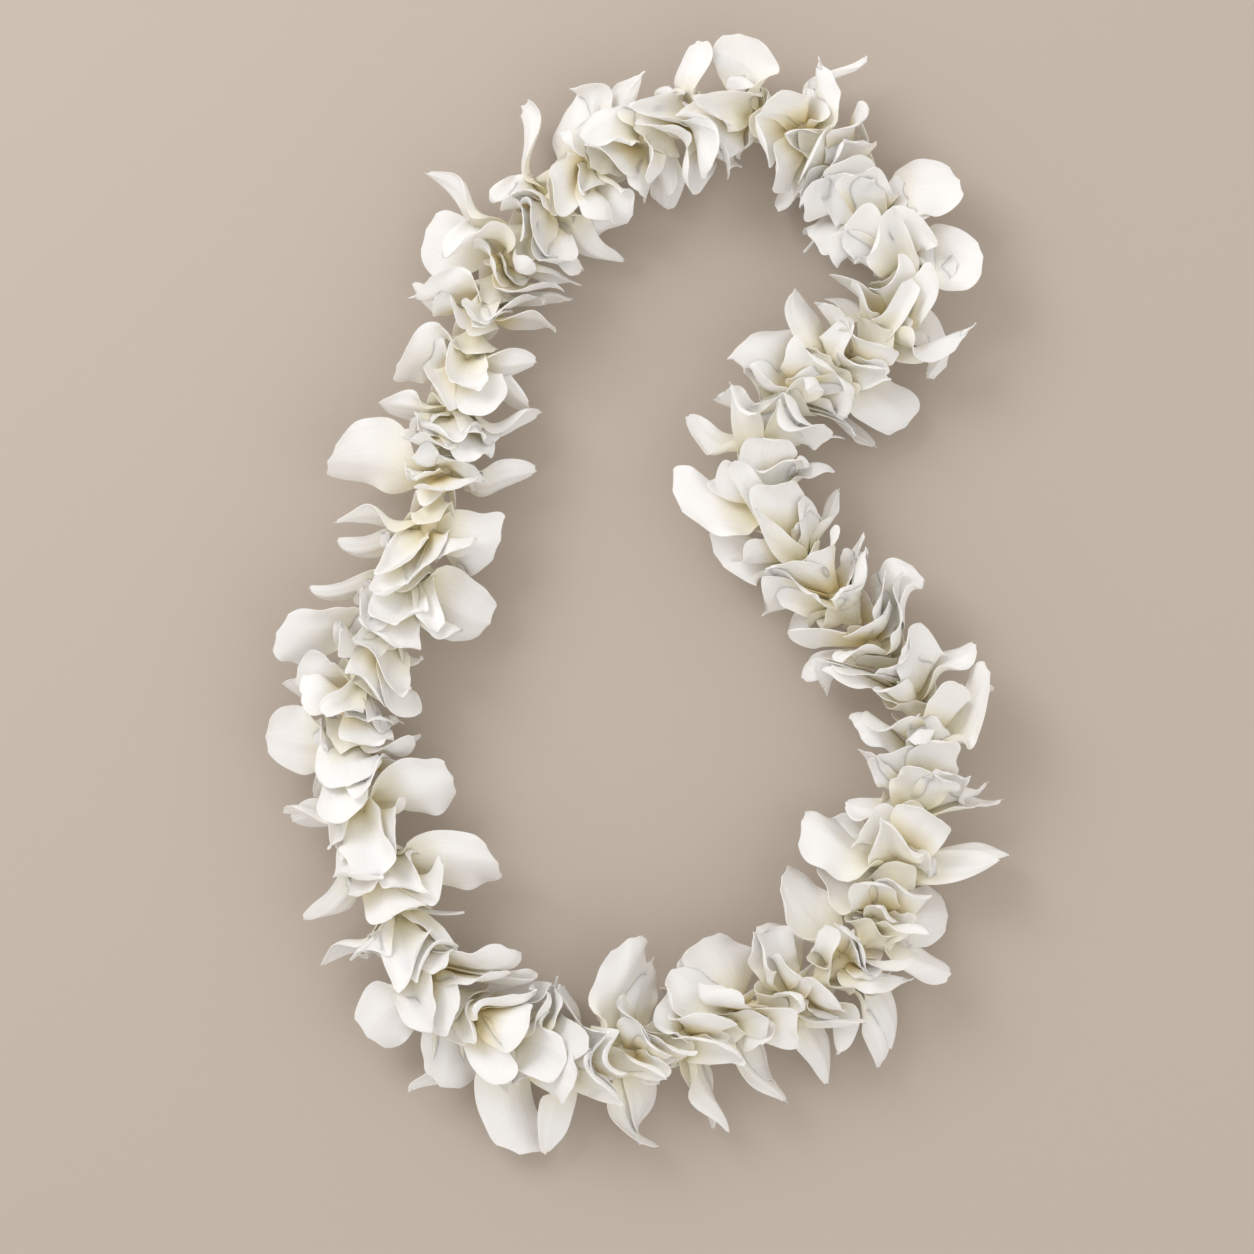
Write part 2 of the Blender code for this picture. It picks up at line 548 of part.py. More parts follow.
def blade_mesh(line, leaves, index, station, tepal):
    """A closed thin solid: a root point, rows of three and a tip, alike on both faces."""
    kind = KINDS[tepal.kind]
    half = kind.thickness / 2
    rows = kind.large_rows if tepal.seen and tepal.reach > LARGE_REACH else kind.rows
    u = np.array([-1.0, 0.0, 1.0])
    v = np.array((0.0,) + rows + (1.0,))
    middle = blade_sheet(line, leaves, index, tepal, u, v)
    rise_and_fall = np.sin(tepal.phase + WAVES * 2 * math.pi * v) * np.sin(math.pi * v)
    wave = kind.wave * rise_and_fall[:, None] * u
    middle = on_table(middle + sheet_normals(middle) * wave[..., None], half)
    normal = sheet_normals(middle)
    lying = middle[..., 2] < half + LYING
    s = leaf_s(leaves, index, tepal, np.array([tepal.angle]), np.array([ROOT_RADIUS]))[0]
    middle[0, 1] = root_point(line, station, s, tepal.angle)
    normal[0, 1] = normal[1, 1]
    shells = []
    for side in (1, -1):
        shell = middle + side * half * normal
        low = 0.0 if side * normal[..., 2].mean() < 0 else kind.thickness
        shell[..., 2] = np.where(lying, low, np.maximum(shell[..., 2], low))
        shells.append(np.vstack([shell[0, 1], shell[1:-1].reshape(-1, 3), shell[-1, 1]]))
    return np.vstack(shells), blade_faces(len(rows))


def blade_faces(row_count):
    """Triangles of a blade: two faces, split alike, and the rim between them."""
    tip = 3 * row_count + 1
    count = tip + 1
    sheet = [(0, 1, 2), (0, 2, 3)]
    for r in range(row_count - 1):
        a = 1 + 3 * r
        sheet += [(a, a + 3, a + 4), (a, a + 4, a + 1)]
        sheet += [(a + 1, a + 4, a + 2), (a + 2, a + 4, a + 5)]
    sheet += [(tip - 3, tip, tip - 2), (tip - 2, tip, tip - 1)]
    faces = [tuple(reversed(face)) for face in sheet]
    faces += [tuple(i + count for i in face) for face in sheet]
    rim = [0] + list(range(1, tip, 3)) + [tip] + list(range(tip - 1, 0, -3))
    for a, b in zip(rim, rim[1:] + rim[:1]):
        faces += [(a, b, b + count), (a, b + count, a + count)]
    return faces


def column_mesh(line, station):
    """The column: rings round the string, with the hole that the string passes through."""
    rings = []
    for offset, radius in COLUMN_RINGS:
        rings.append(line.place(np.full(STRING_SIDES, station + offset), SIDE_ANGLES, radius))
    for offset, _ in reversed(COLUMN_RINGS):
        rings.append(line.place(np.full(STRING_SIDES, station + offset), SIDE_ANGLES,
                                HOLE_RADIUS))
    return np.vstack(rings), ring_faces(len(rings))


def ring_faces(ring_count):
    """Triangles that join rings of points into a closed tube, the last to the first."""
    faces = []
    for ring in range(ring_count):
        following = (ring + 1) % ring_count
        for i in range(STRING_SIDES):
            j = (i + 1) % STRING_SIDES
            a, b = ring * STRING_SIDES + i, ring * STRING_SIDES + j
            c, d = following * STRING_SIDES + j, following * STRING_SIDES + i
            faces += [(a, b, c), (a, c, d)]
    return faces


def string_mesh(line, stations):
    """The thread: a closed tube with a ring wherever a column's hole has one."""
    rings = [line.place(np.full(STRING_SIDES, station + offset), SIDE_ANGLES, STRING_RADIUS)
             for station in stations for offset, _ in COLUMN_RINGS]
    return np.vstack(rings), ring_faces(len(rings))


def make_object(name, verts, faces, material):
    """An object from points and faces, its faces turned outwards."""
    mesh = bpy.data.meshes.new(name)
    mesh.from_pydata([tuple(p) for p in verts], [], faces)
    work = bmesh.new()
    work.from_mesh(mesh)
    bmesh.ops.recalc_face_normals(work, faces=work.faces)
    work.to_mesh(mesh)
    work.free()
    mesh.materials.append(material)
    obj = bpy.data.objects.new(name, mesh)
    bpy.context.scene.collection.objects.link(obj)
    return obj


def fuse(obj, others):
    """Join other objects to one by a Boolean union, apply it and remove the others."""
    group = bpy.data.collections.new(obj.name + "_repeats")
    for other in others:
        bpy.context.scene.collection.objects.unlink(other)
        group.objects.link(other)
    union = obj.modifiers.new("union", "BOOLEAN")
    union.operation = "UNION"
    union.operand_type = "COLLECTION"
    union.collection = group
    union.solver = "MANIFOLD"
    evaluated = obj.evaluated_get(bpy.context.evaluated_depsgraph_get())
    joined = bpy.data.meshes.new_from_object(evaluated)
    obj.modifiers.clear()
    obj.data = joined
    for other in others:
        bpy.data.objects.remove(other)
    bpy.data.collections.remove(group)
    clear_up(joined)


def clear_up(mesh):
    """Merge specks and nearly flat faces, keep the largest shell, leave only triangles."""
    for merge in (MERGE, 0.0):
        work = bmesh.new()
        work.from_mesh(mesh)
        if merge:
            bmesh.ops.dissolve_degenerate(work, dist=merge, edges=work.edges)
        bmesh.ops.dissolve_limit(work, angle_limit=FLAT, verts=work.verts, edges=work.edges)
        bmesh.ops.triangulate(work, faces=work.faces)
        drop_scraps(work)
        closed = all(edge.is_manifold for edge in work.edges)
        closed = closed and all(vert.is_manifold for vert in work.verts)
        if closed or not merge:
            break
        work.free()
    work.to_mesh(mesh)
    work.free()


def drop_scraps(work):
    """Delete every connected shell but the largest."""
    left = set(work.verts)
    shells = []
    while left:
        stack, shell = [left.pop()], set()
        while stack:
            vert = stack.pop()
            shell.add(vert)
            for edge in vert.link_edges:
                other = edge.other_vert(vert)
                if other in left:
                    left.discard(other)
                    stack.append(other)
        shells.append(shell)
    largest = max(shells, key=len)
    scraps = [vert for shell in shells if shell is not largest for vert in shell]
    bmesh.ops.delete(work, geom=scraps, context="VERTS")


def finish(name, colour, roughness):
    """A plain material for one node."""
    material = bpy.data.materials.new(name)
    material.use_nodes = True
    shader = material.node_tree.nodes["Principled BSDF"]
    shader.inputs["Base Color"].default_value = colour
    shader.inputs["Roughness"].default_value = roughness
    shader.inputs["Metallic"].default_value = 0.0
    return material


def lei():
    """Lay out the blooms along the string, settle their leaves and build every node."""
    for obj in list(bpy.data.objects):
        bpy.data.objects.remove(obj)
    rng = random.Random(SEED)
    line = StringLine()
    stations = [line.length * i / BLOOM_COUNT for i in range(BLOOM_COUNT)]
    blooms = []
    for index, station in enumerate(stations):
        blooms.append(whole_bloom(seen_tepals(line, index + 1, station, rng), rng))
    leaves = Leaves(line, stations, blooms)
    make_object("string", *string_mesh(line, stations),
                finish("string", STRING_COLOUR, STRING_ROUGHNESS))
    for index, (station, tepals) in enumerate(zip(stations, blooms)):
        name = f"bloom_{index + 1:02d}"
        material = finish(name, PETAL_COLOUR, PETAL_ROUGHNESS)
        column = make_object(name, *column_mesh(line, station), material)
        blades = []
        for i, tepal in enumerate(tepals + [side_lobe(index, tepals)]):
            verts, faces = blade_mesh(line, leaves, index, station, tepal)
            blades.append(make_object(f"{name}_blade_{i}", verts, faces, material))
        fuse(column, blades)


if __name__ == "__main__":
    lei()
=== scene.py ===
"""The looks of a lei: 44 whole white dendrobium orchids on one closed cotton thread.

The blooms are threaded front to back and lie on a table, so that each one leans on the next.
Places are worked out in string coordinates: s along the string, an angle round it (0 to the
string's left, a quarter turn up) and a radius from it. Each bloom is a leaf of space, a function
s(angle, radius), and the leaves of neighbours stay in order along the string. Every petal, sepal,
lip and stalk is a sheet in its own bloom's leaf, so neighbours lie on each other as petals do. The
lip's lobes, the throat and the calyx stand in the free space between two leaves. Sizes are real
ones, in metres.
"""

import logging
import math
import random
from dataclasses import dataclass, field, replace
from enum import Enum

import bpy
import numpy as np
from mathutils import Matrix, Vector


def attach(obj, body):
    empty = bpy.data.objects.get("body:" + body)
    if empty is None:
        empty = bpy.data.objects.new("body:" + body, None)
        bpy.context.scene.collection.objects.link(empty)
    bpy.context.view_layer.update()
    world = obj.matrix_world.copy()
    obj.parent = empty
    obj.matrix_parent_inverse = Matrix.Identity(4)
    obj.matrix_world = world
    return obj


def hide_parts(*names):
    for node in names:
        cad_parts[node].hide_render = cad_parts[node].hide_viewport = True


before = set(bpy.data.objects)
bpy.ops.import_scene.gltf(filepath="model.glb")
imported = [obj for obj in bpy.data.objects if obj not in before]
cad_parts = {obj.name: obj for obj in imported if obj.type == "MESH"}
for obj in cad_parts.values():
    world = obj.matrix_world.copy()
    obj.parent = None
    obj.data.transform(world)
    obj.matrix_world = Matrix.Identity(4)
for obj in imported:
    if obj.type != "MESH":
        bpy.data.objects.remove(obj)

log = logging.getLogger("lei")

MM = 0.001
SEED = 7
BODY = "root"

# The plan: the places that were read off are in plan units, from the upper left corner, y down.
PLAN_UNIT = 0.39 * MM
PLAN_CENTRE = (640.2, 598.0)
PLAN_SPAN = 1254
ROUTE = [
    (700, 121), (602, 157), (532, 226), (487, 300), (456, 400), (434, 510), (385, 635), (352, 750),
    (390, 880), (432, 970), (502, 1032), (600, 1056), (715, 1022), (810, 985), (874, 925),
    (900, 845), (920, 755), (900, 680), (850, 615), (785, 535), (762, 455), (800, 388),
    (868, 345), (900, 285), (876, 222), (838, 157), (775, 122)]

# The lei: how high its string lies, from where to where blades run, and how far the layers of
# a bloom stand apart.
BLOOM_COUNT = 44
STRING_HEIGHT = 22.5 * MM
ROOT_RADIUS = 2.0 * MM
LONGEST_REACH = 46.0 * MM
LAYER = 2.4 * MM

# Blades that are seen. The string's bend is measured this far to each side, and on the inside
# of a bend a blade reaches at most this share of the way to its middle. A blade leans along the
# string as its share of the reach to a power, which is higher for one that stands up.
BEND_STEP = 6.0 * MM
BEND_SHARE = 0.8
LEAN_POWER = 1.2
LEAN_POWER_UP = 0.4
SEEN_SCALE = (0.95, 1.06)

# How far short of the last node a field is read, in nodes, and the shortest normal.
NODE_MARGIN = 0.001
TINY = 1e-12

# Tepals out of sight, which make each bloom whole. They stand in the widest gaps, sooner in
# upper ones, and follow the lean of the seen blades in part, a little further along the
# string. One that points down reaches past the table by up to LAID, and so lies on it.
TEPALS_PER_BLOOM = 5
UPPER_BONUS = 0.35
SCATTER = 0.15
HIDDEN_REACH = (26.0 * MM, 30.0 * MM)
HIDDEN_FURTHER = (2.0 * MM, 5.0 * MM)
HIDDEN_LEAN = 0.6
HIDDEN_SCALE = (0.9, 1.0)
LAID = 8.0 * MM

# A short lip out of sight: where it may stand, and from which sine of its angle a blade counts
# as one that stands up beside it.
HIDDEN_LIP_REACH = 16.0 * MM
HIDDEN_LIP_ALONG = 11.0 * MM
LIP_SCATTER = 0.1
LIP_SPAN = (0.15 * math.pi, 0.85 * math.pi)
TOP_SINE = 0.7

# Two blades overlap if the angle between them is less than this many times the one that their
# mean half width fills, at a share of the shorter one's reach.
OVERLAP_AT = 0.6
OVERLAP_SHARE = 1.6

# The height over the table within which a blade eases on to it.
EASING = 1.5 * MM

# A blade's outline. Its ends and teeth are shares of its length, and its bays of its half
# width; the rates of bays and teeth are radians along the blade and across it.
BLADE_ENDS = (0.02, 0.97)
ROW_CROWDING = 1.6
LOPSIDED = 0.1
WIDE_BAYS = 0.08
WIDE_BAY_RATE = 7
SMALL_BAYS = 0.012
SMALL_BAY_RATE = 19
APEX_WIDTH = 0.45
TEETH_RATE = 5.5
SMALL_TEETH = 0.4
DEEPEST_TOOTH = 0.2

# A blade's relief and thickness. Phases are in radians, rates in half turns, and a blade is
# rolled or curled in, by a share of what it would be the other way, where a sine of its phase
# is below a bound.
BLOOM_PHASE = 1.7
LOBE_PHASE = 2.3
SIDE_PHASE = 1.3
FLAT_ROOT = 0.3
LONG_WAVE = 0.6
SHORT_WAVE = 0.4
SHORT_WAVE_RATE = 3.8
WAVE_EDGE = 2.5
ROLLED_IN = 0.7
ROLLED_IN_BELOW = -0.5
CURLED_IN = 0.8
CURLED_IN_BELOW = -0.4
CURL_FROM = 0.5
GROOVE_WIDTH = 0.18
FLUTE = 0.3 * MM
FLUTE_RATE = 3.4
THIN_EDGE = 0.9
THICK_ROOT = 1.15
THIN_TIP = 0.5

# The throat: how its rim ruffles, dips opposite the lip, flares and sways, and its root.
WIDE_RUFFLE = 0.08
FINE_RUFFLE = 0.02
THROAT_DIP = 0.22
THROAT_FLARE = 1.25
RIM_SWAY = 0.04
THICK_THROAT = 1.1

# The column: places along the string and radii there, in millimetres.
COLUMN_PROFILE = [
    (-10.4, 1.7), (-9.6, 2.1), (-6.0, 2.3), (-3.0, 3.2), (0.0, 3.6), (4.0, 3.0), (7.5, 2.7),
    (9.0, 3.1), (9.9, 2.6), (10.1, 1.6)]

# Edges that bend by more than this are shaded sharp, so that the petals' rims look cut thin.
SHARP_ANGLE = math.radians(65)


class Kind(Enum):
    """The kinds of blade in an orchid bloom."""

    PETAL = "petal"
    SEPAL = "sepal"
    LIP = "lip"
    LOBE = "lobe"
    STALK = "stalk"


@dataclass(frozen=True)
class Form:
    """Size and shape of one kind of blade, lengths in metres.

    Attributes:
        half_width: half of its greatest width.
        layers: the layers of its bloom that it may lie in.
        cup: the share of its corners that is drawn in, 0 for a flat end and 1 for a round one.
        rise: the power of its outline towards the root.
        fall: the power of its outline towards the tip.
        turn: how far its face turns up to the sky at the side of the string, in radians.
        wave: height of the waves along its edges.
        waves: how many waves its edge has.
        reflex: how far its edges are bent back.
        curl: how far its tip is bent back.
        channel: depth of the groove along its midrib.
        point: how much its fall varies from one blade to the next.
        bow: how far its rib swings to one side.
        thickness: thickness beside the midrib.
        ragged: share of its length by which its end is torn into teeth.
        apex: share of its length by which the middle of its end stands out as a small point.
    """

    half_width: float
    layers: tuple[int, ...]
    cup: float
    rise: float
    fall: float
    turn: float
    wave: float
    waves: float
    reflex: float
    curl: float
    channel: float
    point: float
    bow: float
    thickness: float = 0.5 * MM
    ragged: float = 0.0
    apex: float = 0.0


FORMS: dict[Kind, Form] = {
    Kind.PETAL: Form(half_width=14.0 * MM, layers=(0, 1, -1), cup=0.35, rise=0.62, fall=0.5,
                     turn=1.25, wave=2.6 * MM, waves=1.6, reflex=3.8 * MM, curl=5.0 * MM,
                     channel=1.1 * MM, point=0.16, bow=1.5 * MM, apex=0.035),
    Kind.SEPAL: Form(half_width=7.6 * MM, layers=(-1, 0, 1), cup=0.2, rise=0.5, fall=0.8,
                     turn=1.15, wave=1.0 * MM, waves=1.1, reflex=1.8 * MM, curl=5.0 * MM,
                     channel=0.8 * MM, point=0.2, bow=1.8 * MM, apex=0.035),
    Kind.LIP: Form(half_width=10.0 * MM, layers=(1, 2, 0), cup=0.6, rise=0.6, fall=0.3,
                   turn=0.3, wave=1.0 * MM, waves=1.9, reflex=-0.8 * MM, curl=2.5 * MM,
                   channel=0.3 * MM, point=0.0, bow=1.5 * MM, ragged=0.03),
    Kind.LOBE: Form(half_width=12.5 * MM, layers=(0,), cup=0.5, rise=0.5, fall=0.46,
                    turn=0.0, wave=1.4 * MM, waves=1.2, reflex=2.6 * MM, curl=4.0 * MM,
                    channel=0.8 * MM, point=0.16, bow=1.5 * MM),
    Kind.STALK: Form(half_width=0.9 * MM, layers=(-1, 0, 1), cup=0.0, rise=0.1, fall=0.1,
                     turn=0.0, wave=0.0, waves=1.6, reflex=0.0, curl=0.0, channel=0.0,
                     point=0.0, bow=0.0, thickness=1.5 * MM),
}


@dataclass(frozen=True)
class Tip:
    """Where a blade's tip is seen.

    Attributes:
        kind: petal, sepal, lip or stalk.
        x: its place to the right on the plan, in plan units.
        y: its place down the plan.
        height: its height over the table in millimetres.
    """

    kind: Kind
    x: float
    y: float
    height: float


# The tips that show, bloom by bloom: kind, place on the plan, and height in millimetres.
P, S, L, K = Kind.PETAL, Kind.SEPAL, Kind.LIP, Kind.STALK
TIPS: dict[int, list[tuple[Kind, int, int, int]]] = {
    1: [(S, 686, 47, 30), (P, 619, 124, 39), (S, 738, 169, 20)],
    2: [(P, 656, 73, 30), (P, 565, 150, 40), (S, 697, 187, 16), (S, 649, 216, 10)],
    3: [(S, 557, 92, 28), (P, 611, 78, 24), (P, 611, 237, 24), (S, 570, 210, 38)],
    4: [(P, 497, 200, 38), (P, 530, 262, 42), (S, 528, 102, 20), (S, 614, 275, 14)],
    5: [(S, 418, 160, 26), (P, 417, 238, 18), (P, 442, 258, 38), (L, 505, 285, 34)],
    6: [(P, 421, 303, 36), (P, 540, 283, 34), (S, 401, 303, 18), (S, 568, 302, 12),
        (L, 476, 368, 38)],
    7: [(P, 395, 370, 30), (S, 533, 363, 28), (S, 528, 415, 18), (P, 462, 405, 42)],
    8: [(S, 377, 413, 24), (S, 418, 438, 30), (S, 538, 422, 24), (P, 492, 462, 32),
        (P, 446, 456, 42)],
    9: [(P, 328, 458, 28), (S, 533, 485, 24), (P, 475, 515, 34), (S, 432, 424, 43),
        (L, 402, 516, 34)],
    10: [(P, 500, 535, 32), (S, 331, 524, 30), (S, 463, 614, 26), (P, 376, 592, 38),
         (S, 325, 563, 18)],
    11: [(P, 487, 628, 22), (S, 295, 621, 30), (P, 380, 640, 42)],
    12: [(P, 276, 645, 32), (S, 271, 671, 16), (P, 385, 702, 41), (S, 416, 668, 22)],
    13: [(P, 293, 697, 30), (P, 396, 722, 28), (S, 275, 703, 14), (S, 390, 765, 34),
         (L, 358, 735, 36)],
    14: [(P, 266, 728, 22), (P, 350, 782, 42), (S, 312, 800, 14)],
    15: [(P, 453, 785, 34), (S, 288, 817, 24), (S, 293, 836, 14), (P, 385, 880, 42),
         (S, 347, 884, 32)],
    16: [(P, 500, 860, 24), (S, 319, 955, 22), (P, 430, 905, 38)],
    17: [(S, 348, 955, 32), (S, 317, 963, 14), (S, 480, 972, 36), (P, 428, 1003, 42),
         (P, 374, 975, 26), (K, 468, 919, 24)],
    18: [(P, 528, 962, 38), (P, 373, 1043, 24), (P, 425, 1028, 40)],
    19: [(P, 545, 1003, 38), (P, 490, 1112, 14), (S, 405, 1090, 8), (S, 500, 1046, 41)],
    20: [(S, 545, 1104, 30), (P, 522, 1158, 8), (P, 570, 1056, 41)],
    21: [(P, 634, 1018, 38), (P, 634, 1080, 41), (S, 566, 985, 28), (S, 557, 1161, 14)],
    22: [(P, 643, 936, 34), (P, 615, 980, 24), (S, 690, 1060, 41), (S, 677, 1151, 12),
         (S, 604, 1150, 8)],
    23: [(P, 755, 1038, 41), (P, 658, 1008, 34), (S, 752, 1124, 16), (S, 722, 1129, 6)],
    24: [(P, 684, 966, 34), (P, 693, 940, 26), (S, 797, 1101, 18), (S, 770, 1098, 6),
         (S, 792, 1004, 41)],
    25: [(P, 788, 918, 34), (P, 754, 924, 26), (S, 884, 1010, 36), (S, 850, 1080, 10)],
    26: [(P, 774, 879, 30), (S, 840, 910, 38), (P, 907, 968, 34), (S, 950, 1003, 14),
         (S, 880, 1098, 12)],
    27: [(P, 819, 850, 18), (S, 957, 958, 22), (P, 958, 908, 8), (S, 884, 892, 41),
         (K, 867, 880, 26)],
    28: [(P, 891, 809, 43), (P, 806, 813, 28), (S, 815, 828, 16), (S, 1020, 824, 16),
         (S, 1000, 868, 24)],
    29: [(P, 918, 742, 42), (P, 957, 745, 38), (S, 994, 762, 26), (S, 849, 797, 24),
         (S, 1005, 799, 16)],
    30: [(P, 985, 658, 34), (S, 990, 673, 20), (P, 852, 710, 30), (S, 885, 757, 12),
         (L, 926, 706, 38)],
    31: [(P, 815, 650, 34), (P, 904, 622, 43), (S, 970, 640, 30)],
    32: [(P, 880, 556, 38), (P, 925, 580, 32), (S, 782, 656, 18), (S, 890, 578, 20)],
    33: [(P, 752, 553, 36), (P, 848, 546, 36), (S, 776, 621, 10), (S, 866, 533, 26)],
    34: [(S, 747, 468, 43), (S, 803, 490, 38), (P, 709, 540, 20)],
    35: [(P, 676, 478, 32), (P, 790, 442, 40), (S, 841, 454, 26)],
    36: [(S, 757, 360, 43), (P, 812, 372, 38), (S, 687, 415, 22), (S, 872, 426, 22)],
    37: [(P, 720, 370, 30), (P, 795, 327, 34), (S, 879, 401, 24), (S, 888, 440, 8),
         (L, 840, 374, 38), (K, 852, 438, 20)],
    38: [(S, 787, 290, 30), (S, 848, 320, 40), (P, 910, 350, 36), (P, 916, 422, 16)],
    39: [(P, 968, 308, 32), (P, 948, 368, 14), (S, 905, 262, 42)],
    40: [(P, 878, 203, 43), (S, 940, 219, 28), (P, 985, 272, 30), (P, 838, 246, 28)],
    41: [(P, 808, 240, 26), (P, 952, 178, 34), (S, 890, 144, 36), (P, 820, 180, 41),
         (K, 803, 248, 16)],
    42: [(S, 855, 113, 30), (S, 808, 126, 38), (P, 830, 150, 42), (L, 790, 190, 30)],
    43: [(P, 784, 60, 34), (S, 867, 58, 24), (P, 785, 216, 16), (S, 762, 132, 40)],
    44: [(P, 678, 112, 41), (P, 740, 35, 32), (S, 722, 50, 24), (S, 733, 160, 26)],
}


@dataclass(frozen=True)
class Tepal:
    """One blade, laid out in string coordinates.

    Attributes:
        kind: petal, sepal, lip, lobe or stalk.
        angle: the angle round the string of its middle rib.
        reach: the radius of its tip.
        along: how far its tip lies along the string from its bloom's station.
        turn: how far its face turns up to the sky.
        power: how late it leans along the string.
        scale: its width over the usual one.
        seen: whether its tip is seen from above.
        phase: where the waves of its edge start.
        layer: the layer of its bloom that it lies in.
        shares: for a lobe, its root's and tip's shares of the free space in front.
    """

    kind: Kind
    angle: float
    reach: float
    along: float
    turn: float
    power: float
    scale: float
    seen: bool
    phase: float
    layer: int = 0
    shares: tuple[float, float] | None = None


def wrapped(angle: float | np.ndarray) -> float | np.ndarray:
    """Bring an angle between minus and plus half a turn."""
    return (angle + math.pi) % (2 * math.pi) - math.pi


def plan_to_metres(points: np.ndarray | tuple[float, float]) -> np.ndarray:
    """Turn plan units, y down, into metres on the table, y up."""
    return (np.asarray(points, float) - PLAN_CENTRE) * (PLAN_UNIT, -PLAN_UNIT)


def closed_spline(points: list[tuple[float, float]], per_span: int = 40) -> np.ndarray:
    """Run a closed cubic spline through points.

    Its second derivatives m solve the cyclic system m[i-1] + 4 m[i] + m[i+1] = 6 times the
    second difference of the points, and each span is the cubic that they give.

    Args:
        points: the points that it passes, in order.
        per_span: how many points it gets from each one to the next.

    Returns:
        The curve's points, one row each.
    """
    points = np.array(points, float)
    eye = np.eye(len(points))
    system = 4 * eye + np.roll(eye, 1, 0) + np.roll(eye, -1, 0)
    bend = np.linalg.solve(
        system, 6 * (np.roll(points, -1, 0) - 2 * points + np.roll(points, 1, 0)))
    t = np.linspace(0, 1, per_span, endpoint=False)[None, :, None]
    start, stop = points[:, None], np.roll(points, -1, 0)[:, None]
    bend_start, bend_stop = bend[:, None], np.roll(bend, -1, 0)[:, None]
    curve = ((1 - t) * start + t * stop + ((1 - t) ** 3 - (1 - t)) * bend_start / 6
             + (t ** 3 - t) * bend_stop / 6)
    return curve.reshape(-1, 2)


@dataclass
class StringLine:
    """The string's closed centreline, level over the table, read by its own length.

    Attributes:
        height: its height over the table.
        length: its length once round.
        arc: the lengths to its points.
        points: their plan places, the first one again at the end.
        heading: its heading at each, in radians, unwrapped.
    """

    height: float = STRING_HEIGHT
    length: float = field(init=False)
    arc: np.ndarray = field(init=False)
    points: np.ndarray = field(init=False)
    heading: np.ndarray = field(init=False)

    def __post_init__(self) -> None:
        """Measure the spline through the route: lengths to its points and its heading there."""
        curve = plan_to_metres(closed_spline(ROUTE))
        steps = np.linalg.norm(np.roll(curve, -1, 0) - curve, axis=1)
        self.length = float(steps.sum())
        self.arc = np.concatenate([[0.0], np.cumsum(steps)])
        self.points = np.vstack([curve, curve[:1]])
        ahead = np.roll(curve, -1, 0) - np.roll(curve, 1, 0)
        heading = np.unwrap(np.arctan2(ahead[:, 1], ahead[:, 0]))
        full_turn = 2 * math.pi * round((heading[-1] - heading[0]) / (2 * math.pi))
        self.heading = np.concatenate([heading, [heading[0] + full_turn]])

    def at(self, s: np.ndarray) -> tuple[np.ndarray, ...]:
        """Return plan x and y, and the left-hand side vector's x and y, at lengths s."""
        s = s - np.floor(s / self.length) * self.length
        x = np.interp(s, self.arc, self.points[:, 0])
        y = np.interp(s, self.arc, self.points[:, 1])
        heading = np.interp(s, self.arc, self.heading)
        return x, y, -np.sin(heading), np.cos(heading)

    def direction(self, s: np.ndarray) -> np.ndarray:
        """Return the unit vector along the string at lengths s."""
        _, _, side_x, side_y = self.at(s)
        return np.stack([side_y, -side_x, np.zeros_like(side_x)], -1)

    def bend(self, s: float) -> float:
        """Return the signed curvature at s, positive where the string turns to its left."""
        behind, ahead = (np.interp((s + step) % self.length, self.arc, self.heading)
                         for step in (-BEND_STEP, BEND_STEP))
        return wrapped(ahead - behind) / (2 * BEND_STEP)

    def place(self, s: np.ndarray, angle: np.ndarray, radius: np.ndarray) -> np.ndarray:
        """Turn string coordinates into points: out to the side by the radius times the cosine
        of the angle, and up by the radius times its sine."""
        x, y, side_x, side_y = self.at(s)
        side = radius * np.cos(angle)
        up = self.height + radius * np.sin(angle)
        return np.stack([x + side * side_x, y + side * side_y, up], -1)

    def locate(self, point: np.ndarray, near: float, window: float = 56 * MM,
               steps: int = 449) -> tuple[float, float]:
        """Find the string coordinates of a plan point.

        Args:
            point: the plan point, in metres.
            near: the length along the string to look round.
            window: how far to look to each side of it.
            steps: how many lengths are tried.

        Returns:
            The length s of the nearest point of the string, and the signed side from there.
        """
        s = near + np.linspace(-window, window, steps)
        x, y, side_x, side_y = self.at(s)
        best = int(np.argmin((x - point[0]) ** 2 + (y - point[1]) ** 2))
        side = (point[0] - x[best]) * side_x[best] + (point[1] - y[best]) * side_y[best]
        return float(s[best]), float(side)


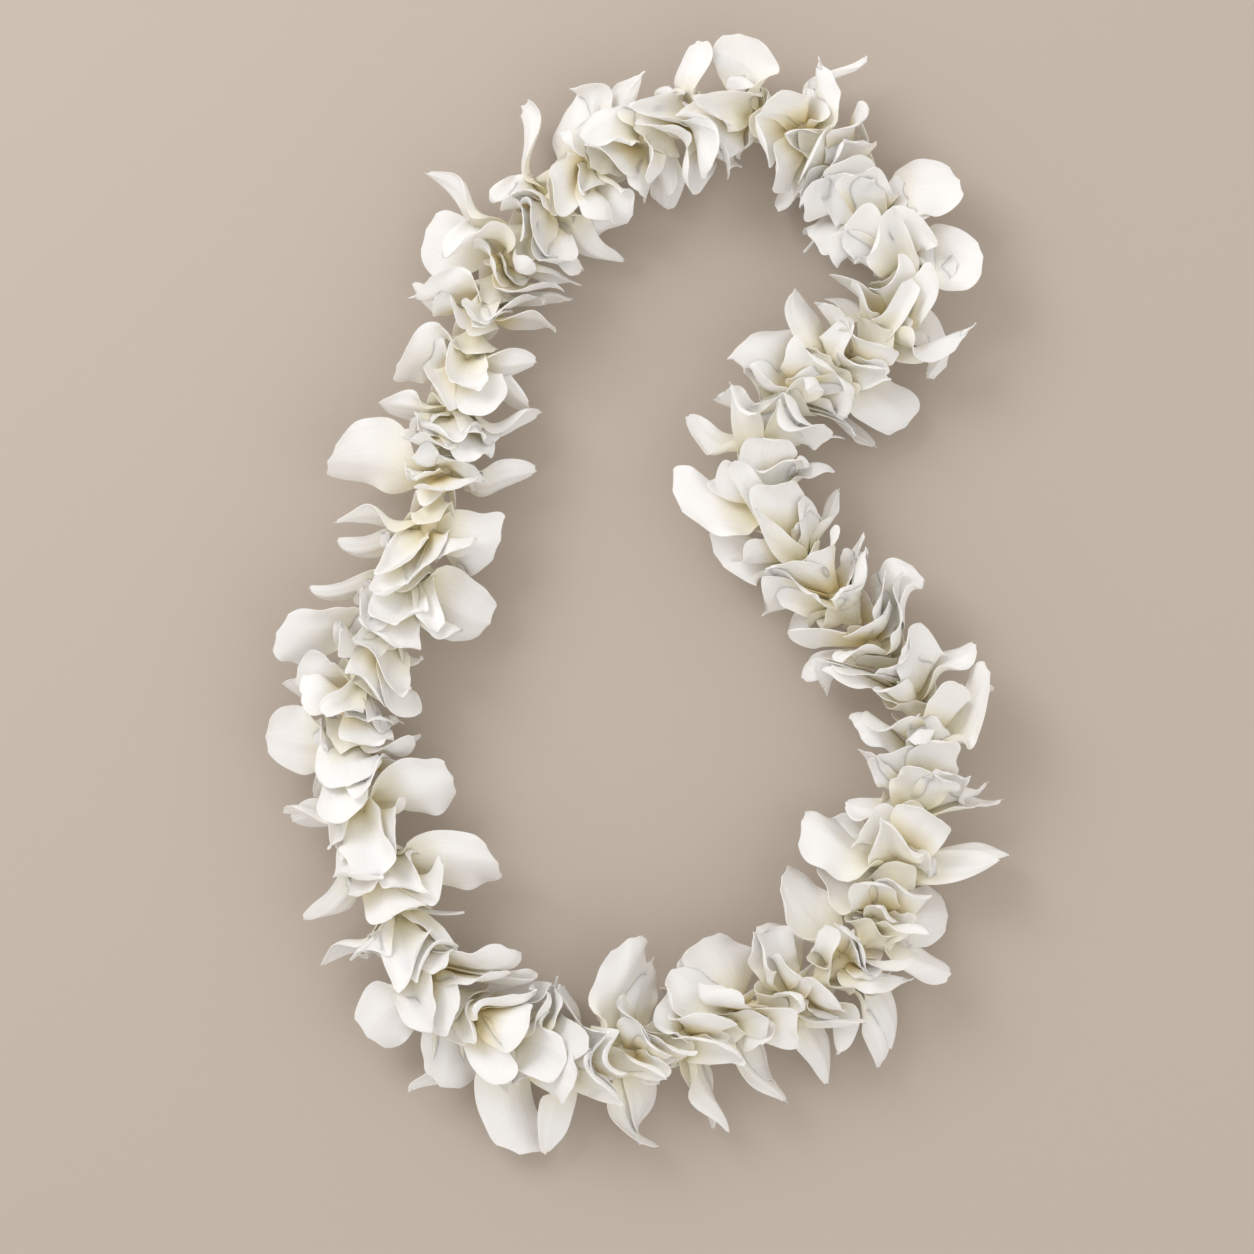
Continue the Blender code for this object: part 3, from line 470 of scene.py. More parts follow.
@dataclass
class BloomPlan:
    """Lays out the blades of one bloom after another, with one seeded draw for them all.

    Attributes:
        line: the string.
        rng: the seeded draw, which the blooms have to take in order.
    """

    line: StringLine
    rng: random.Random = field(default_factory=lambda: random.Random(SEED))

    def stations(self) -> list[float]:
        """Return the even places of the blooms along the string."""
        return [self.line.length * i / BLOOM_COUNT for i in range(BLOOM_COUNT)]

    def bloom(self, number: int, station: float) -> list[Tepal]:
        """Lay out the whole bloom of a number, 1 for the first, at a station."""
        seen = [self.seen_tepal(Tip(*tip), station) for tip in TIPS[number]]
        return self.whole(seen)

    def seen_tepal(self, tip: Tip, station: float) -> Tepal:
        """Lay out a blade from the place of its tip.

        Args:
            tip: the tip's plan place and height.
            station: its bloom's place along the string.

        Returns:
            The blade, with a reach that stays short of the middle of a bend.
        """
        s, side = self.line.locate(plan_to_metres((tip.x, tip.y)), station)
        rise = tip.height * MM - STRING_HEIGHT
        angle = math.atan2(rise, side)
        reach = min(math.hypot(rise, side), LONGEST_REACH)
        inside = self.line.bend(s) * math.cos(angle)
        if inside * reach > BEND_SHARE:
            reach = BEND_SHARE / inside
        power = LEAN_POWER + LEAN_POWER_UP * max(0.0, math.sin(angle))
        return Tepal(kind=tip.kind, angle=angle, reach=reach, along=s - station,
                     turn=face_turn(tip.kind, angle), power=power,
                     scale=self.rng.uniform(*SEEN_SCALE), seen=True,
                     phase=self.rng.uniform(0, 2 * math.pi))

    def whole(self, seen: list[Tepal]) -> list[Tepal]:
        """Add hidden tepals in the widest gaps round the string, and a lip.

        Args:
            seen: the blades whose tips are seen from above.

        Returns:
            Two petals, three sepals and a lip or more, each in a layer of the bloom.
        """
        tepals = list(seen)
        petals = sum(t.kind is Kind.PETAL for t in seen)
        present = sum(t.kind in (Kind.PETAL, Kind.SEPAL) for t in seen)
        for _ in range(TEPALS_PER_BLOOM - present):
            kind = Kind.PETAL if petals < 2 else Kind.SEPAL
            petals += kind is Kind.PETAL
            angles = sorted(t.angle % (2 * math.pi) for t in tepals
                            if t.kind in (Kind.PETAL, Kind.SEPAL))
            gaps = [((b - a) * (1 + UPPER_BONUS * math.sin((a + b) / 2)), (a + b) / 2)
                    for a, b in zip(angles, angles[1:] + [angles[0] + 2 * math.pi])]
            angle = wrapped(max(gaps)[1] + self.rng.uniform(-SCATTER, SCATTER))
            tepals.append(self.hidden_tepal(kind, angle, seen))
        if not any(t.kind is Kind.LIP for t in tepals):
            tepals.append(self.hidden_lip(tepals))
        return layered(tepals)

    def hidden_tepal(self, kind: Kind, angle: float, seen: list[Tepal]) -> Tepal:
        """Lay out a tepal out of sight, which leans as its bloom does and stops at the table."""
        lean = HIDDEN_LEAN * sum(t.along for t in seen) / len(seen)
        reach = self.rng.uniform(*HIDDEN_REACH)
        if angle < 0:
            reach = min(reach, (STRING_HEIGHT + LAID) / -math.sin(angle))
        return Tepal(kind=kind, angle=angle, reach=reach,
                     along=lean + self.rng.uniform(*HIDDEN_FURTHER),
                     turn=face_turn(kind, angle), power=LEAN_POWER,
                     scale=self.rng.uniform(*HIDDEN_SCALE), seen=False,
                     phase=self.rng.uniform(0, 2 * math.pi))

    def hidden_lip(self, tepals: list[Tepal]) -> Tepal:
        """Lay out a short lip on the upper side, beside the tepals that stand up there."""
        tops = [t.angle for t in tepals if math.sin(t.angle) > TOP_SINE]
        angle = 0.5 * math.pi if not tops else 1.5 * math.pi - sum(tops) / len(tops)
        angle = min(max(angle, LIP_SPAN[0]), LIP_SPAN[1])
        angle += self.rng.uniform(-LIP_SCATTER, LIP_SCATTER)
        return Tepal(kind=Kind.LIP, angle=angle, reach=HIDDEN_LIP_REACH, along=HIDDEN_LIP_ALONG,
                     turn=0.0, power=LEAN_POWER, scale=1.0, seen=False, phase=0.0)


def face_turn(kind: Kind, angle: float) -> float:
    """Return how far a blade at an angle round the string turns its face up to the sky."""
    return -FORMS[kind].turn * math.cos(angle)


def layered(tepals: list[Tepal]) -> list[Tepal]:
    """Put blades that overlap, seen along the string, in different layers of their bloom."""
    placed: list[Tepal] = []
    for tepal in sorted(tepals, key=lambda t: -t.reach):
        taken = set()
        for other in placed:
            middle = OVERLAP_AT * min(tepal.reach, other.reach)
            widths = FORMS[tepal.kind].half_width + FORMS[other.kind].half_width
            apart = abs(wrapped(tepal.angle - other.angle))
            if apart < OVERLAP_SHARE * math.atan2(widths, 2 * middle):
                taken.add(other.layer)
        layers = FORMS[tepal.kind].layers
        free = [layer for layer in layers if layer not in taken]
        placed.append(replace(tepal, layer=free[0] if free else layers[0]))
    return placed


def outline(v: np.ndarray, rise: float, fall: float) -> np.ndarray:
    """Return half width along a blade: v to the rise times (1 - v) to the fall, 1 at most."""
    top = rise / (rise + fall)
    return v ** rise * (1 - v) ** fall / (top ** rise * (1 - top) ** fall)


def blur(values: np.ndarray) -> np.ndarray:
    """Soften fields over their angle, which closes, and their radius, which doesn't.

    Each value becomes half itself and a quarter of either neighbour, one way and then the other.
    """
    values = 0.5 * values + 0.25 * (np.roll(values, 1, 1) + np.roll(values, -1, 1))
    wider = np.concatenate([values[:, :, :1], values, values[:, :, -1:]], 2)
    return 0.5 * values + 0.25 * (wider[:, :, :-2] + wider[:, :, 2:])


def widened(values: np.ndarray) -> np.ndarray:
    """Spread the high places of fields to their neighbours, twice, and soften the result."""
    for _ in range(2):
        values = np.maximum(values, np.maximum(np.roll(values, 1, 1), np.roll(values, -1, 1)))
        wider = np.concatenate([values[:, :, :1], values, values[:, :, -1:]], 2)
        values = np.maximum(values, np.maximum(wider[:, :, :-2], wider[:, :, 2:]))
    for _ in range(4):
        values = blur(values)
    return values


@dataclass
class Leaves:
    """s(angle, radius) for every bloom, kept in order along the string.

    Attributes:
        line: the string.
        stations: the blooms' places along it.
        blooms: the blades of each bloom.
        angle_steps: nodes of a leaf round the string.
        radius_steps: its nodes from the string out.
        gap: least distance along the string between the blades of two leaves.
        empty_leaf: how far a leaf is held apart where it has no blade, from 0 to 1.
        seen_weight: how much more firmly a blade asks whose tip is seen.
        slack: the weight with which an empty part leans as the rest of its bloom.
        lean_of_empty: how far it leans, over the mean of the rest.
        empty_radius: the radius from which it leans in full.
        lean_to: the share of its reach up to which a blade goes on leaning.
        cover_margin: how far a blade's cover reaches past its edge.
        cover_past_tip: how far it reaches past its tip.
        cover_fade: over what length it fades there.
        held_from: the cover from which a node counts as holding a blade.
        neighbours: how many blooms on to look for the nearest blade.
        hold_edge: how far from its rib a blade stops asking, in half widths.
        solid_edge: how far from it the blade stops being solid.
        edge_on_width: the share of its width that a blade shows edge-on.
        turn_limit: the angle from its rib up to which a blade's face slopes.
        tightest_bend: the least share to which a bend squeezes the room on its inside.
        base_stiffness: the stiffness of an empty leaf.
        rounds: rounds of settling.
        last_rounds: how many of them only push apart.
        blur_every: how often those soften the leaves.
        ease: the share of the way to its wish that a leaf moves in a round.
        push: the share of what is missing that a round makes up.
        middle_share: how far forward a calyx may stand between the nearest blades.
        values: s of each bloom's leaf at its nodes.
        front: the front of its blades there.
        back: their back.
        ceiling: where the nearest blade in front stands.
        floor: where the nearest blade behind stands.
    """

    line: StringLine
    stations: list[float]
    blooms: list[list[Tepal]]
    angle_steps: int = 120
    radius_steps: int = 22
    gap: float = 4.2 * MM
    empty_leaf: float = 0.15
    seen_weight: float = 6.0
    slack: float = 0.02
    lean_of_empty: float = 1.8
    empty_radius: float = 30.0 * MM
    lean_to: float = 1.2
    cover_margin: float = 1.5 * MM
    cover_past_tip: float = 4.0 * MM
    cover_fade: float = 3.0 * MM
    held_from: float = 0.25
    neighbours: int = 3
    hold_edge: float = 1.7
    solid_edge: float = 2.2
    edge_on_width: float = 0.25
    turn_limit: float = 0.7
    tightest_bend: float = 0.4
    base_stiffness: float = 0.2
    rounds: int = 700
    last_rounds: int = 400
    blur_every: int = 20
    ease: float = 0.25
    push: float = 0.45
    middle_share: float = 0.4
    values: np.ndarray = field(init=False)
    front: np.ndarray = field(init=False)
    back: np.ndarray = field(init=False)
    ceiling: np.ndarray = field(init=False)
    floor: np.ndarray = field(init=False)

    def __post_init__(self) -> None:
        """Gather what the blades ask for, then settle the leaves in order."""
        self.angles = np.linspace(0, 2 * math.pi, self.angle_steps, endpoint=False)
        self.radii = np.linspace(ROOT_RADIUS, LONGEST_REACH + 2 * MM, self.radius_steps)
        shape = (len(self.blooms), self.angle_steps, self.radius_steps)
        wish, weight = np.zeros(shape), np.zeros(shape)
        solid = np.full(shape, self.empty_leaf)
        upper, lower = np.zeros(shape), np.zeros(shape)
        for index, tepals in enumerate(self.blooms):
            for tepal in tepals:
                cover = self.ask(wish[index], weight[index], tepal)
                solid[index] = np.maximum(solid[index], cover)
                upper[index] = np.maximum(upper[index], cover * tepal.layer * LAYER)
                lower[index] = np.minimum(lower[index], cover * tepal.layer * LAYER)
        mean = wish.sum((1, 2), keepdims=True) / weight.sum((1, 2), keepdims=True)
        spread = np.clip(self.radii / self.empty_radius, 0, 1)[None, None, :]
        wish = (wish + self.slack * self.lean_of_empty * mean * spread) / (weight + self.slack)
        wish += np.array(self.stations)[:, None, None]
        self.values = wish.copy()
        self.order(wish, weight + self.slack, solid, upper, lower)
        self.front = self.values + widened(upper)
        self.back = self.values - widened(-lower)
        held = blur(blur(solid)) > self.held_from
        self.ceiling = self.nearest(self.back, held, 1)
        self.floor = self.nearest(self.front, held, -1)

    def nearest(self, edge: np.ndarray, held: np.ndarray, step: int) -> np.ndarray:
        """Find, for each bloom's nodes, where the nearest neighbour's blade stands.

        Args:
            edge: the side of every bloom that faces the bloom in question.
            held: where every bloom holds a blade.
            step: 1 for the neighbours in front and -1 for those behind.

        Returns:
            The s of that side, softened towards the bloom itself.
        """
        count = len(self.blooms)
        found = np.zeros_like(edge)
        for far in range(self.neighbours, 0, -1):
            index = np.arange(count) + step * far
            lap = self.line.length * (index // count)
            other = edge[index % count] + lap[:, None, None]
            found = np.where(held[index % count] | (far == self.neighbours), other, found)
        near = np.minimum if step > 0 else np.maximum
        return near(found, blur(found))

    def ask(self, wish: np.ndarray, weight: np.ndarray, tepal: Tepal) -> np.ndarray:
        """Add one blade's wished s to the nodes that it covers.

        Its rib leans along the string as its share of the reach to a power, and across it the
        sheet slopes by the tangent of its turn.

        Args:
            wish: sum of the wishes of its bloom, changed in place.
            weight: sum of their weights, changed in place.
            tepal: the blade.

        Returns:
            How far each node is covered by the blade, from 0 to 1.
        """
        form = FORMS[tepal.kind]
        turn = wrapped(self.angles - tepal.angle)[:, None]
        share = (self.radii - ROOT_RADIUS) / (tepal.reach - ROOT_RADIUS)
        share = np.clip(share, 0, self.lean_to)[None]
        slope = math.tan(tepal.turn) * tepal.reach
        broad = outline(np.clip(share, *BLADE_ENDS), form.rise, form.fall)
        facing = self.edge_on_width + (1 - self.edge_on_width) * math.cos(tepal.turn)
        cover = np.arctan2(form.half_width * broad * facing + self.cover_margin,
                           self.radii[None])
        inside = np.clip((tepal.reach + self.cover_past_tip - self.radii) / self.cover_fade,
                         0, 1)[None]
        amount = np.clip(self.hold_edge - np.abs(turn) / cover, 0, 1) * inside
        amount = amount * (self.seen_weight if tepal.seen else 1.0)
        wanted = tepal.along * share ** tepal.power
        wanted = wanted + slope * np.clip(turn, -self.turn_limit, self.turn_limit) * share
        wish += amount * wanted
        weight += amount
        return np.clip(self.solid_edge - np.abs(turn) / cover, 0, 1) * inside

    def order(self, wish: np.ndarray, weight: np.ndarray, solid: np.ndarray,
              upper: np.ndarray, lower: np.ndarray) -> None:
        """Push neighbouring leaves apart where both hold a blade, the lighter one most.

        Each round moves every leaf a little to its wish and its own blurred self, and then
        takes away a part of what is missing between it and the next leaf.

        Args:
            wish: the s that the blades ask for.
            weight: how firmly they ask.
            solid: how far each node is covered.
            upper: how far the bloom's layers reach forward there.
            lower: how far they reach back.
        """
        curve = np.array([self.line.bend(s) for s in self.stations])[:, None, None]
        side = self.radii[None, None, :] * np.cos(self.angles)[None, :, None]
        squeeze = np.clip(1 - curve * side, self.tightest_bend, 1.0)
        ahead = np.roll(np.arange(len(self.stations)), -1)
        need = self.gap * 0.5 * (solid + solid[ahead]) + upper - lower[ahead]
        need = need / np.minimum(squeeze, squeeze[ahead])
        lap = np.zeros((len(self.stations), 1, 1))
        lap[-1] = self.line.length
        stiff = weight + self.base_stiffness
        give = stiff[ahead] / (stiff + stiff[ahead])
        for turn in range(self.rounds):
            if turn < self.rounds - self.last_rounds:
                target = (weight * wish + blur(self.values)) / (weight + 1.0)
                self.values += self.ease * (target - self.values)
            elif turn % self.blur_every == 0:
                self.values = 0.5 * self.values + 0.5 * blur(self.values)
            lack = np.clip(need - (self.values[ahead] + lap - self.values), 0, None)
            self.values -= self.push * lack * give
            self.values += np.roll(self.push * lack * (1 - give), 1, 0)

    def read(self, values: np.ndarray, angle: np.ndarray, radius: np.ndarray) -> np.ndarray:
        """Read one field smoothly: a bicubic B-spline with the nodes as control points.

        Args:
            values: the field, one value for each angle and radius.
            angle: angles round the string.
            radius: radii, of the same shape.

        Returns:
            The values there.
        """
        a = (angle % (2 * math.pi)) / (2 * math.pi) * self.angle_steps
        r = (radius - self.radii[0]) / (self.radii[1] - self.radii[0])
        r = np.clip(r, 0, self.radius_steps - 1 - NODE_MARGIN)
        a0, r0 = np.floor(a).astype(int), np.floor(r).astype(int)
        total = np.zeros(np.broadcast(a, r).shape)
        for i, across in enumerate(spline_weights(a - a0)):
            for j, along in enumerate(spline_weights(r - r0)):
                row = (a0 + i - 1) % self.angle_steps
                column = np.clip(r0 + j - 1, 0, self.radius_steps - 1)
                total += across * along * values[row, column]
        return total

    def s_at(self, index: int, angle: np.ndarray, radius: np.ndarray) -> np.ndarray:
        """Return s of one bloom's leaf at angles and radii."""
        return self.read(self.values[index], angle, radius)

    def ahead_of(self, index: int, share: np.ndarray, angle: np.ndarray,
                 radius: np.ndarray) -> np.ndarray:
        """Return s at a share of the free space from a bloom's blades to the next ones."""
        following = (index + 1) % len(self.blooms)
        lap = self.line.length if following == 0 else 0.0
        low = self.read(self.front[index], angle, radius)
        high = np.minimum(self.read(self.back[following], angle, radius) + lap,
                          self.read(self.ceiling[index], angle, radius))
        return low + share * np.maximum(high - low, 0)

    def behind(self, index: int, share: np.ndarray, angle: np.ndarray,
               radius: np.ndarray) -> np.ndarray:
        """Return s at a share of the free space from the blades before to a bloom's own.

        Where the bloom holds no blade, s stays behind a share of the way between the nearest
        blades of other blooms.
        """
        lap = self.line.length if index == 0 else 0.0
        floor = self.read(self.floor[index], angle, radius)
        ceiling = self.read(self.ceiling[index], angle, radius)
        high = self.read(self.back[index], angle, radius)
        low = np.maximum(self.read(self.front[index - 1], angle, radius) - lap, floor)
        s = high - (1 - share) * np.maximum(high - low, 0)
        return np.minimum(s, floor + self.middle_share * (ceiling - floor))


def spline_weights(f: np.ndarray) -> tuple[np.ndarray, ...]:
    """Return the four weights of a cubic B-spline at a share f of the way between nodes."""
    return ((1 - f) ** 3 / 6, (3 * f ** 3 - 6 * f ** 2 + 4) / 6,
            (-3 * f ** 3 + 3 * f ** 2 + 3 * f + 1) / 6, f ** 3 / 6)


def on_table(points: np.ndarray, half_thickness: np.ndarray) -> np.ndarray:
    """Bend points that would pass through the table so that they lie on it.

    Within an easing height of the table the height follows a parabola, which meets the table
    flat, and above that it is left as it is.

    Args:
        points: the middle points of a sheet.
        half_thickness: half of the sheet's thickness there.

    Returns:
        The points, none lower than half the sheet's thickness.
    """
    low = points[..., 2] - half_thickness
    eased = np.clip(low + EASING, 0, 2 * EASING) ** 2 / (4 * EASING)
    points[..., 2] = half_thickness + np.where(low > EASING, low, eased)
    return points


def smoothed(values: np.ndarray, rounds: int) -> np.ndarray:
    """Soften the inside of a grid: half itself and half the mean of its four neighbours."""
    values = values.copy()
    for _ in range(rounds):
        around = (values[:-2, 1:-1] + values[2:, 1:-1] + values[1:-1, :-2] + values[1:-1, 2:]) / 4
        values[1:-1, 1:-1] = 0.5 * values[1:-1, 1:-1] + 0.5 * around
    return values


def sheet_normals(points: np.ndarray) -> np.ndarray:
    """Return unit normals of a grid of points, from its differences across and along."""
    normal = np.cross(np.gradient(points, axis=1), np.gradient(points, axis=0))
    return normal / np.maximum(np.linalg.norm(normal, axis=-1, keepdims=True), TINY)


@dataclass
class Patch:
    """Points and four-sided faces, with what the finish reads at every point.

    Attributes:
        points: places, one row each.
        quads: indices of the four corners of each face.
        fibre: across and along its blade, each from 0 to 1.
        depth: how near the throat, from 0 at the tip to 1 inside.
        lip: 1 on a lip and 0 elsewhere.
    """

    points: np.ndarray
    quads: np.ndarray
    fibre: np.ndarray
    depth: np.ndarray
    lip: np.ndarray

    @staticmethod
    def shell(middle: np.ndarray, thickness: np.ndarray, fibre: np.ndarray,
              depth: np.ndarray, lip: float) -> "Patch":
        """Give a sheet its thickness: two offset faces and the rim between them.

        Args:
            middle: the grid of middle points, rows along and columns across.
            thickness: the thickness at each.
            fibre: across and along at each.
            depth: nearness to the throat at each.
            lip: 1 for a lip and 0 for another blade.

        Returns:
            A closed patch whose faces point outwards.
        """
        rows, columns = middle.shape[:2]
        offset = sheet_normals(middle) * (thickness / 2)[..., None]
        points = np.concatenate([(middle + offset).reshape(-1, 3),
                                 (middle - offset).reshape(-1, 3)])
        count = rows * columns
        index = np.arange(count).reshape(rows, columns)
        face = np.stack([index[:-1, :-1], index[:-1, 1:], index[1:, 1:], index[1:, :-1]], -1)
        face = face.reshape(-1, 4)
        edge = np.concatenate([index[0, :-1], index[:-1, -1], index[-1, :0:-1], index[:0:-1, 0]])
        after = np.roll(edge, -1)
        rim = np.stack([after, edge, edge + count, after + count], -1)
        quads = np.concatenate([face, face[:, ::-1] + count, rim])
        twice = np.concatenate([fibre.reshape(-1, 2)] * 2)
        return Patch(points, quads, twice, np.concatenate([depth.ravel()] * 2),
                     np.full(2 * count, lip))

    @staticmethod
    def ring(points: np.ndarray, depth: np.ndarray, lip: float) -> "Patch":
        """Close a grid of points both ways, as on a torus.

        Args:
            points: rings of points, in an order whose faces point outwards.
            depth: nearness to the throat of each ring.
            lip: 1 for a lip's colour and 0 for a tepal's.

        Returns:
            The closed patch.
        """
        rings, sides = points.shape[:2]
        index = np.arange(rings * sides).reshape(rings, sides)
        along, across = np.roll(index, -1, 0), np.roll(index, -1, 1)
        both = np.roll(across, -1, 0)
        quads = np.stack([index, across, both, along], -1).reshape(-1, 4)
        share = np.broadcast_to(np.linspace(0, 1, sides)[None], (rings, sides))
        rise = np.broadcast_to(np.linspace(0, 1, rings)[:, None], (rings, sides))
        fibre = np.stack([share, rise], -1).reshape(-1, 2)
        return Patch(points.reshape(-1, 3), quads, fibre, np.repeat(depth, sides),
                     np.full(rings * sides, lip))


def make_piece(name: str, patches: list[Patch], material: bpy.types.Material) -> bpy.types.Object:
    """Put patches into one mesh object at the origin.

    Args:
        name: the object's name.
        patches: what it is made of.
        material: its finish.

    Returns:
        The object, smooth shaded, with a UV map named fibre and attributes depth and lip.
    """
    starts = np.cumsum([0] + [len(p.points) for p in patches[:-1]])
    points = np.concatenate([p.points for p in patches])
    quads = np.concatenate([p.quads + start for p, start in zip(patches, starts)])
    mesh = bpy.data.meshes.new(name)
    mesh.vertices.add(len(points))
    mesh.vertices.foreach_set("co", points.astype(np.float32).ravel())
    mesh.loops.add(quads.size)
    mesh.loops.foreach_set("vertex_index", quads.astype(np.int32).ravel())
    mesh.polygons.add(len(quads))
    mesh.polygons.foreach_set("loop_start", np.arange(0, quads.size, 4, dtype=np.int32))
    fibre = np.concatenate([p.fibre for p in patches])[quads.ravel()]
    mesh.uv_layers.new(name="fibre").uv.foreach_set("vector", fibre.astype(np.float32).ravel())
    for label in ("depth", "lip"):
        values = np.concatenate([getattr(p, label) for p in patches]).astype(np.float32)
        mesh.attributes.new(label, "FLOAT", "POINT").data.foreach_set("value", values)
    mesh.update(calc_edges=True)
    mesh.validate()
    mesh.shade_smooth()
    mesh.set_sharp_from_angle(angle=SHARP_ANGLE)
    mesh.materials.append(material)
    piece = bpy.data.objects.new(name, mesh)
    bpy.context.scene.collection.objects.link(piece)
    return piece


@dataclass
class Bloom:
    """One orchid: its blades, the lip's side lobes and throat, the calyx and the column.

    Attributes:
        line: the string.
        leaves: the leaves of space.
        index: the bloom's number, from 0.
        station: its place along the string.
        tepals: its blades.
        rows: points along a blade.
        columns: points across a blade.
        rib_steps: points at which a blade's rib is measured.
        fan_steps: points at which its rows are measured.
        fan: the angle that they reach to each side of the rib.
        sub_layer: how far apart blades of one layer are moved.
        bluntness: share of a form's fall that its outline keeps.
        cream_to: the share of a blade's length up to which it is creamy.
        room_share: share of the way to a neighbour that relief may take.
        least_room: the relief that is always left.
        least_facing: the share of that room left to a sheet that lies along the string.
        smoothing: rounds of softening of a blade's sheet.
        lobe_smoothing: the same for a lobe's sheet.
        softening: rounds of softening of its relief.
        lobe_span: the angles round the string between which lobes stand.
        lobe_tries: how many angles are tried for each.
        lobe_reach: the radius of a lobe's tip over the string.
        lobe_side_reach: how much further it reaches to the side, as a share.
        lobe_uneven: how much its reach varies.
        lobe_shrink: how much narrower each further lobe is.
        lobe_shares: root and tip of each lobe as shares of the free space in front.
        lobe_power: how late a lobe rises through it.
        lobe_apart: the least angle from a lobe to its neighbours.
        lobe_room: share of the room that a lobe's relief may take.
        hole_radius: radius of the column's hole.
        column_sides: points round the column.
        column_waist: how much flatter the column is than round.
        column_depth: how near the throat its back and its front count.
        column_fade: the length over which that would go from 0 to 1.
        column_lip: how much of a lip's colour it has.
        throat_rows: points along the throat.
        throat_columns: points round it.
        throat_turn: the angle that it covers to each side of the lip.
        throat_radii: its radius at the column and at the rim.
        throat_shares: root and rim as shares of the free space in front.
        throat_depth: how near the throat its root counts, and what is lost up to the rim.
        throat_thickness: its thickness.
        calyx_rows: points along the calyx.
        calyx_columns: points round it.
        calyx_radii: its radius at the column and at the rim.
        calyx_shares: root and rim as shares of the free space behind.
        calyx_flare: the power by which it widens.
        calyx_swell: how far its three swellings stand out.
        calyx_depth: how near the throat its root counts, and what is lost up to the rim.
        calyx_thickness: its thickness.
    """

    line: StringLine
    leaves: Leaves
    index: int
    station: float
    tepals: list[Tepal]
    rows: int = 26
    columns: int = 17
    rib_steps: int = 60
    fan_steps: int = 81
    fan: float = 1.25
    sub_layer: float = 0.7 * MM
    bluntness: float = 0.75
    cream_to: float = 0.62
    room_share: float = 0.4
    least_room: float = 0.3 * MM
    least_facing: float = 0.15
    smoothing: int = 3
    lobe_smoothing: int = 9
    softening: int = 5
    lobe_span: tuple[float, float] = (0.02 * math.pi, 0.98 * math.pi)
    lobe_tries: int = 41
    lobe_reach: float = 22.5 * MM
    lobe_side_reach: float = 0.2
    lobe_uneven: float = 0.08
    lobe_shrink: float = 0.08
    lobe_shares: tuple[tuple[float, float], ...] = ((0.08, 0.32), (0.12, 0.42), (0.16, 0.5))
    lobe_power: float = 0.8
    lobe_apart: float = 0.35
    lobe_room: float = 0.3
    hole_radius: float = 1.15 * MM
    column_sides: int = 20
    column_waist: float = 0.06
    column_depth: tuple[float, float] = (0.3, 0.8)
    column_fade: float = 20.0 * MM
    column_lip: float = 0.6
    throat_rows: int = 14
    throat_columns: int = 40
    throat_turn: float = 2.75
    throat_radii: tuple[float, float] = (3.0 * MM, 10.0 * MM)
    throat_shares: tuple[float, float] = (0.06, 0.42)
    throat_depth: tuple[float, float] = (0.8, 0.8)
    throat_thickness: float = 0.4 * MM
    calyx_rows: int = 12
    calyx_columns: int = 37
    calyx_radii: tuple[float, float] = (2.5 * MM, 11.0 * MM)
    calyx_shares: tuple[float, float] = (0.56, 0.97)
    calyx_flare: float = 1.5
    calyx_swell: float = 0.12
    calyx_depth: tuple[float, float] = (0.85, 0.5)
    calyx_thickness: float = 0.5 * MM

    @property
    def node(self) -> str:
        """Name of the CAD node that this bloom stands for."""
        return f"bloom_{self.index + 1:02d}"

    def build(self, material: bpy.types.Material) -> bpy.types.Object:
        """Build the bloom's piece, which replaces its node.

        Args:
            material: the petals' finish.

        Returns:
            The piece.
        """
        blades = self.tepals + self.lobes()
        nudges = self.nudges(blades)
        patches = [self.blade(tepal, nudge) for tepal, nudge in zip(blades, nudges)]
        patches += [self.calyx(), self.throat(), self.column()]
        piece = make_piece(f"{self.node}_petals", patches, material)
        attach(piece, BODY)
        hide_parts(self.node)
        return piece

    def lobes(self) -> list[Tepal]:
        """Lay out the lip's side lobes and folds, each in the widest gap on the upper side.

        Returns:
            The lobes, each rising further through the free space in front of the tepals.
        """
        taken = [tepal.angle for tepal in self.tepals]
        lobes: list[Tepal] = []
        for number, shares in enumerate(self.lobe_shares):
            best = max(np.linspace(*self.lobe_span, self.lobe_tries),
                       key=lambda a: min(abs(wrapped(a - other)) for other in taken))
            if lobes and min(abs(wrapped(best - other)) for other in taken) < self.lobe_apart:
                break
            taken.append(float(best))
            phase = self.index * BLOOM_PHASE + number * LOBE_PHASE
            reach = self.lobe_reach * (1.0 + self.lobe_side_reach * abs(math.cos(best))
                                       + self.lobe_uneven * math.sin(phase))
            lobes.append(Tepal(kind=Kind.LOBE, angle=float(best), reach=reach, along=0.0,
                               turn=0.0, power=1.0, scale=1.0 - self.lobe_shrink * number,
                               seen=True, phase=phase, shares=shares))
        return lobes

    def nudges(self, blades: list[Tepal]) -> list[float]:
        """Return how far each blade is moved along, so that none of a layer coincide."""
        nudges = [0.0] * len(blades)
        for layer in {blade.layer for blade in blades}:
            same = [n for n, blade in enumerate(blades)
                    if blade.layer == layer and not blade.shares]
            for place, number in enumerate(same):
                nudges[number] = (place - (len(same) - 1) / 2) * self.sub_layer
        return nudges

    def leaf_s(self, tepal: Tepal, nudge: float, angle: np.ndarray,
               radius: np.ndarray) -> np.ndarray:
        """Return a blade's place along the string at angles and radii.

        A tepal lies in the bloom's own leaf, moved along by its layer. A lobe rises through
        the free space in front, by a share that grows as its radius to a power.
        """
        if tepal.shares is None:
            return self.leaves.s_at(self.index, angle, radius) + tepal.layer * LAYER + nudge
        t = np.clip((radius - ROOT_RADIUS) / (tepal.reach - ROOT_RADIUS), 0, 1)
        root, tip = tepal.shares
        share = root + (tip - root) * t ** self.lobe_power
        return self.leaves.ahead_of(self.index, share, angle, radius)

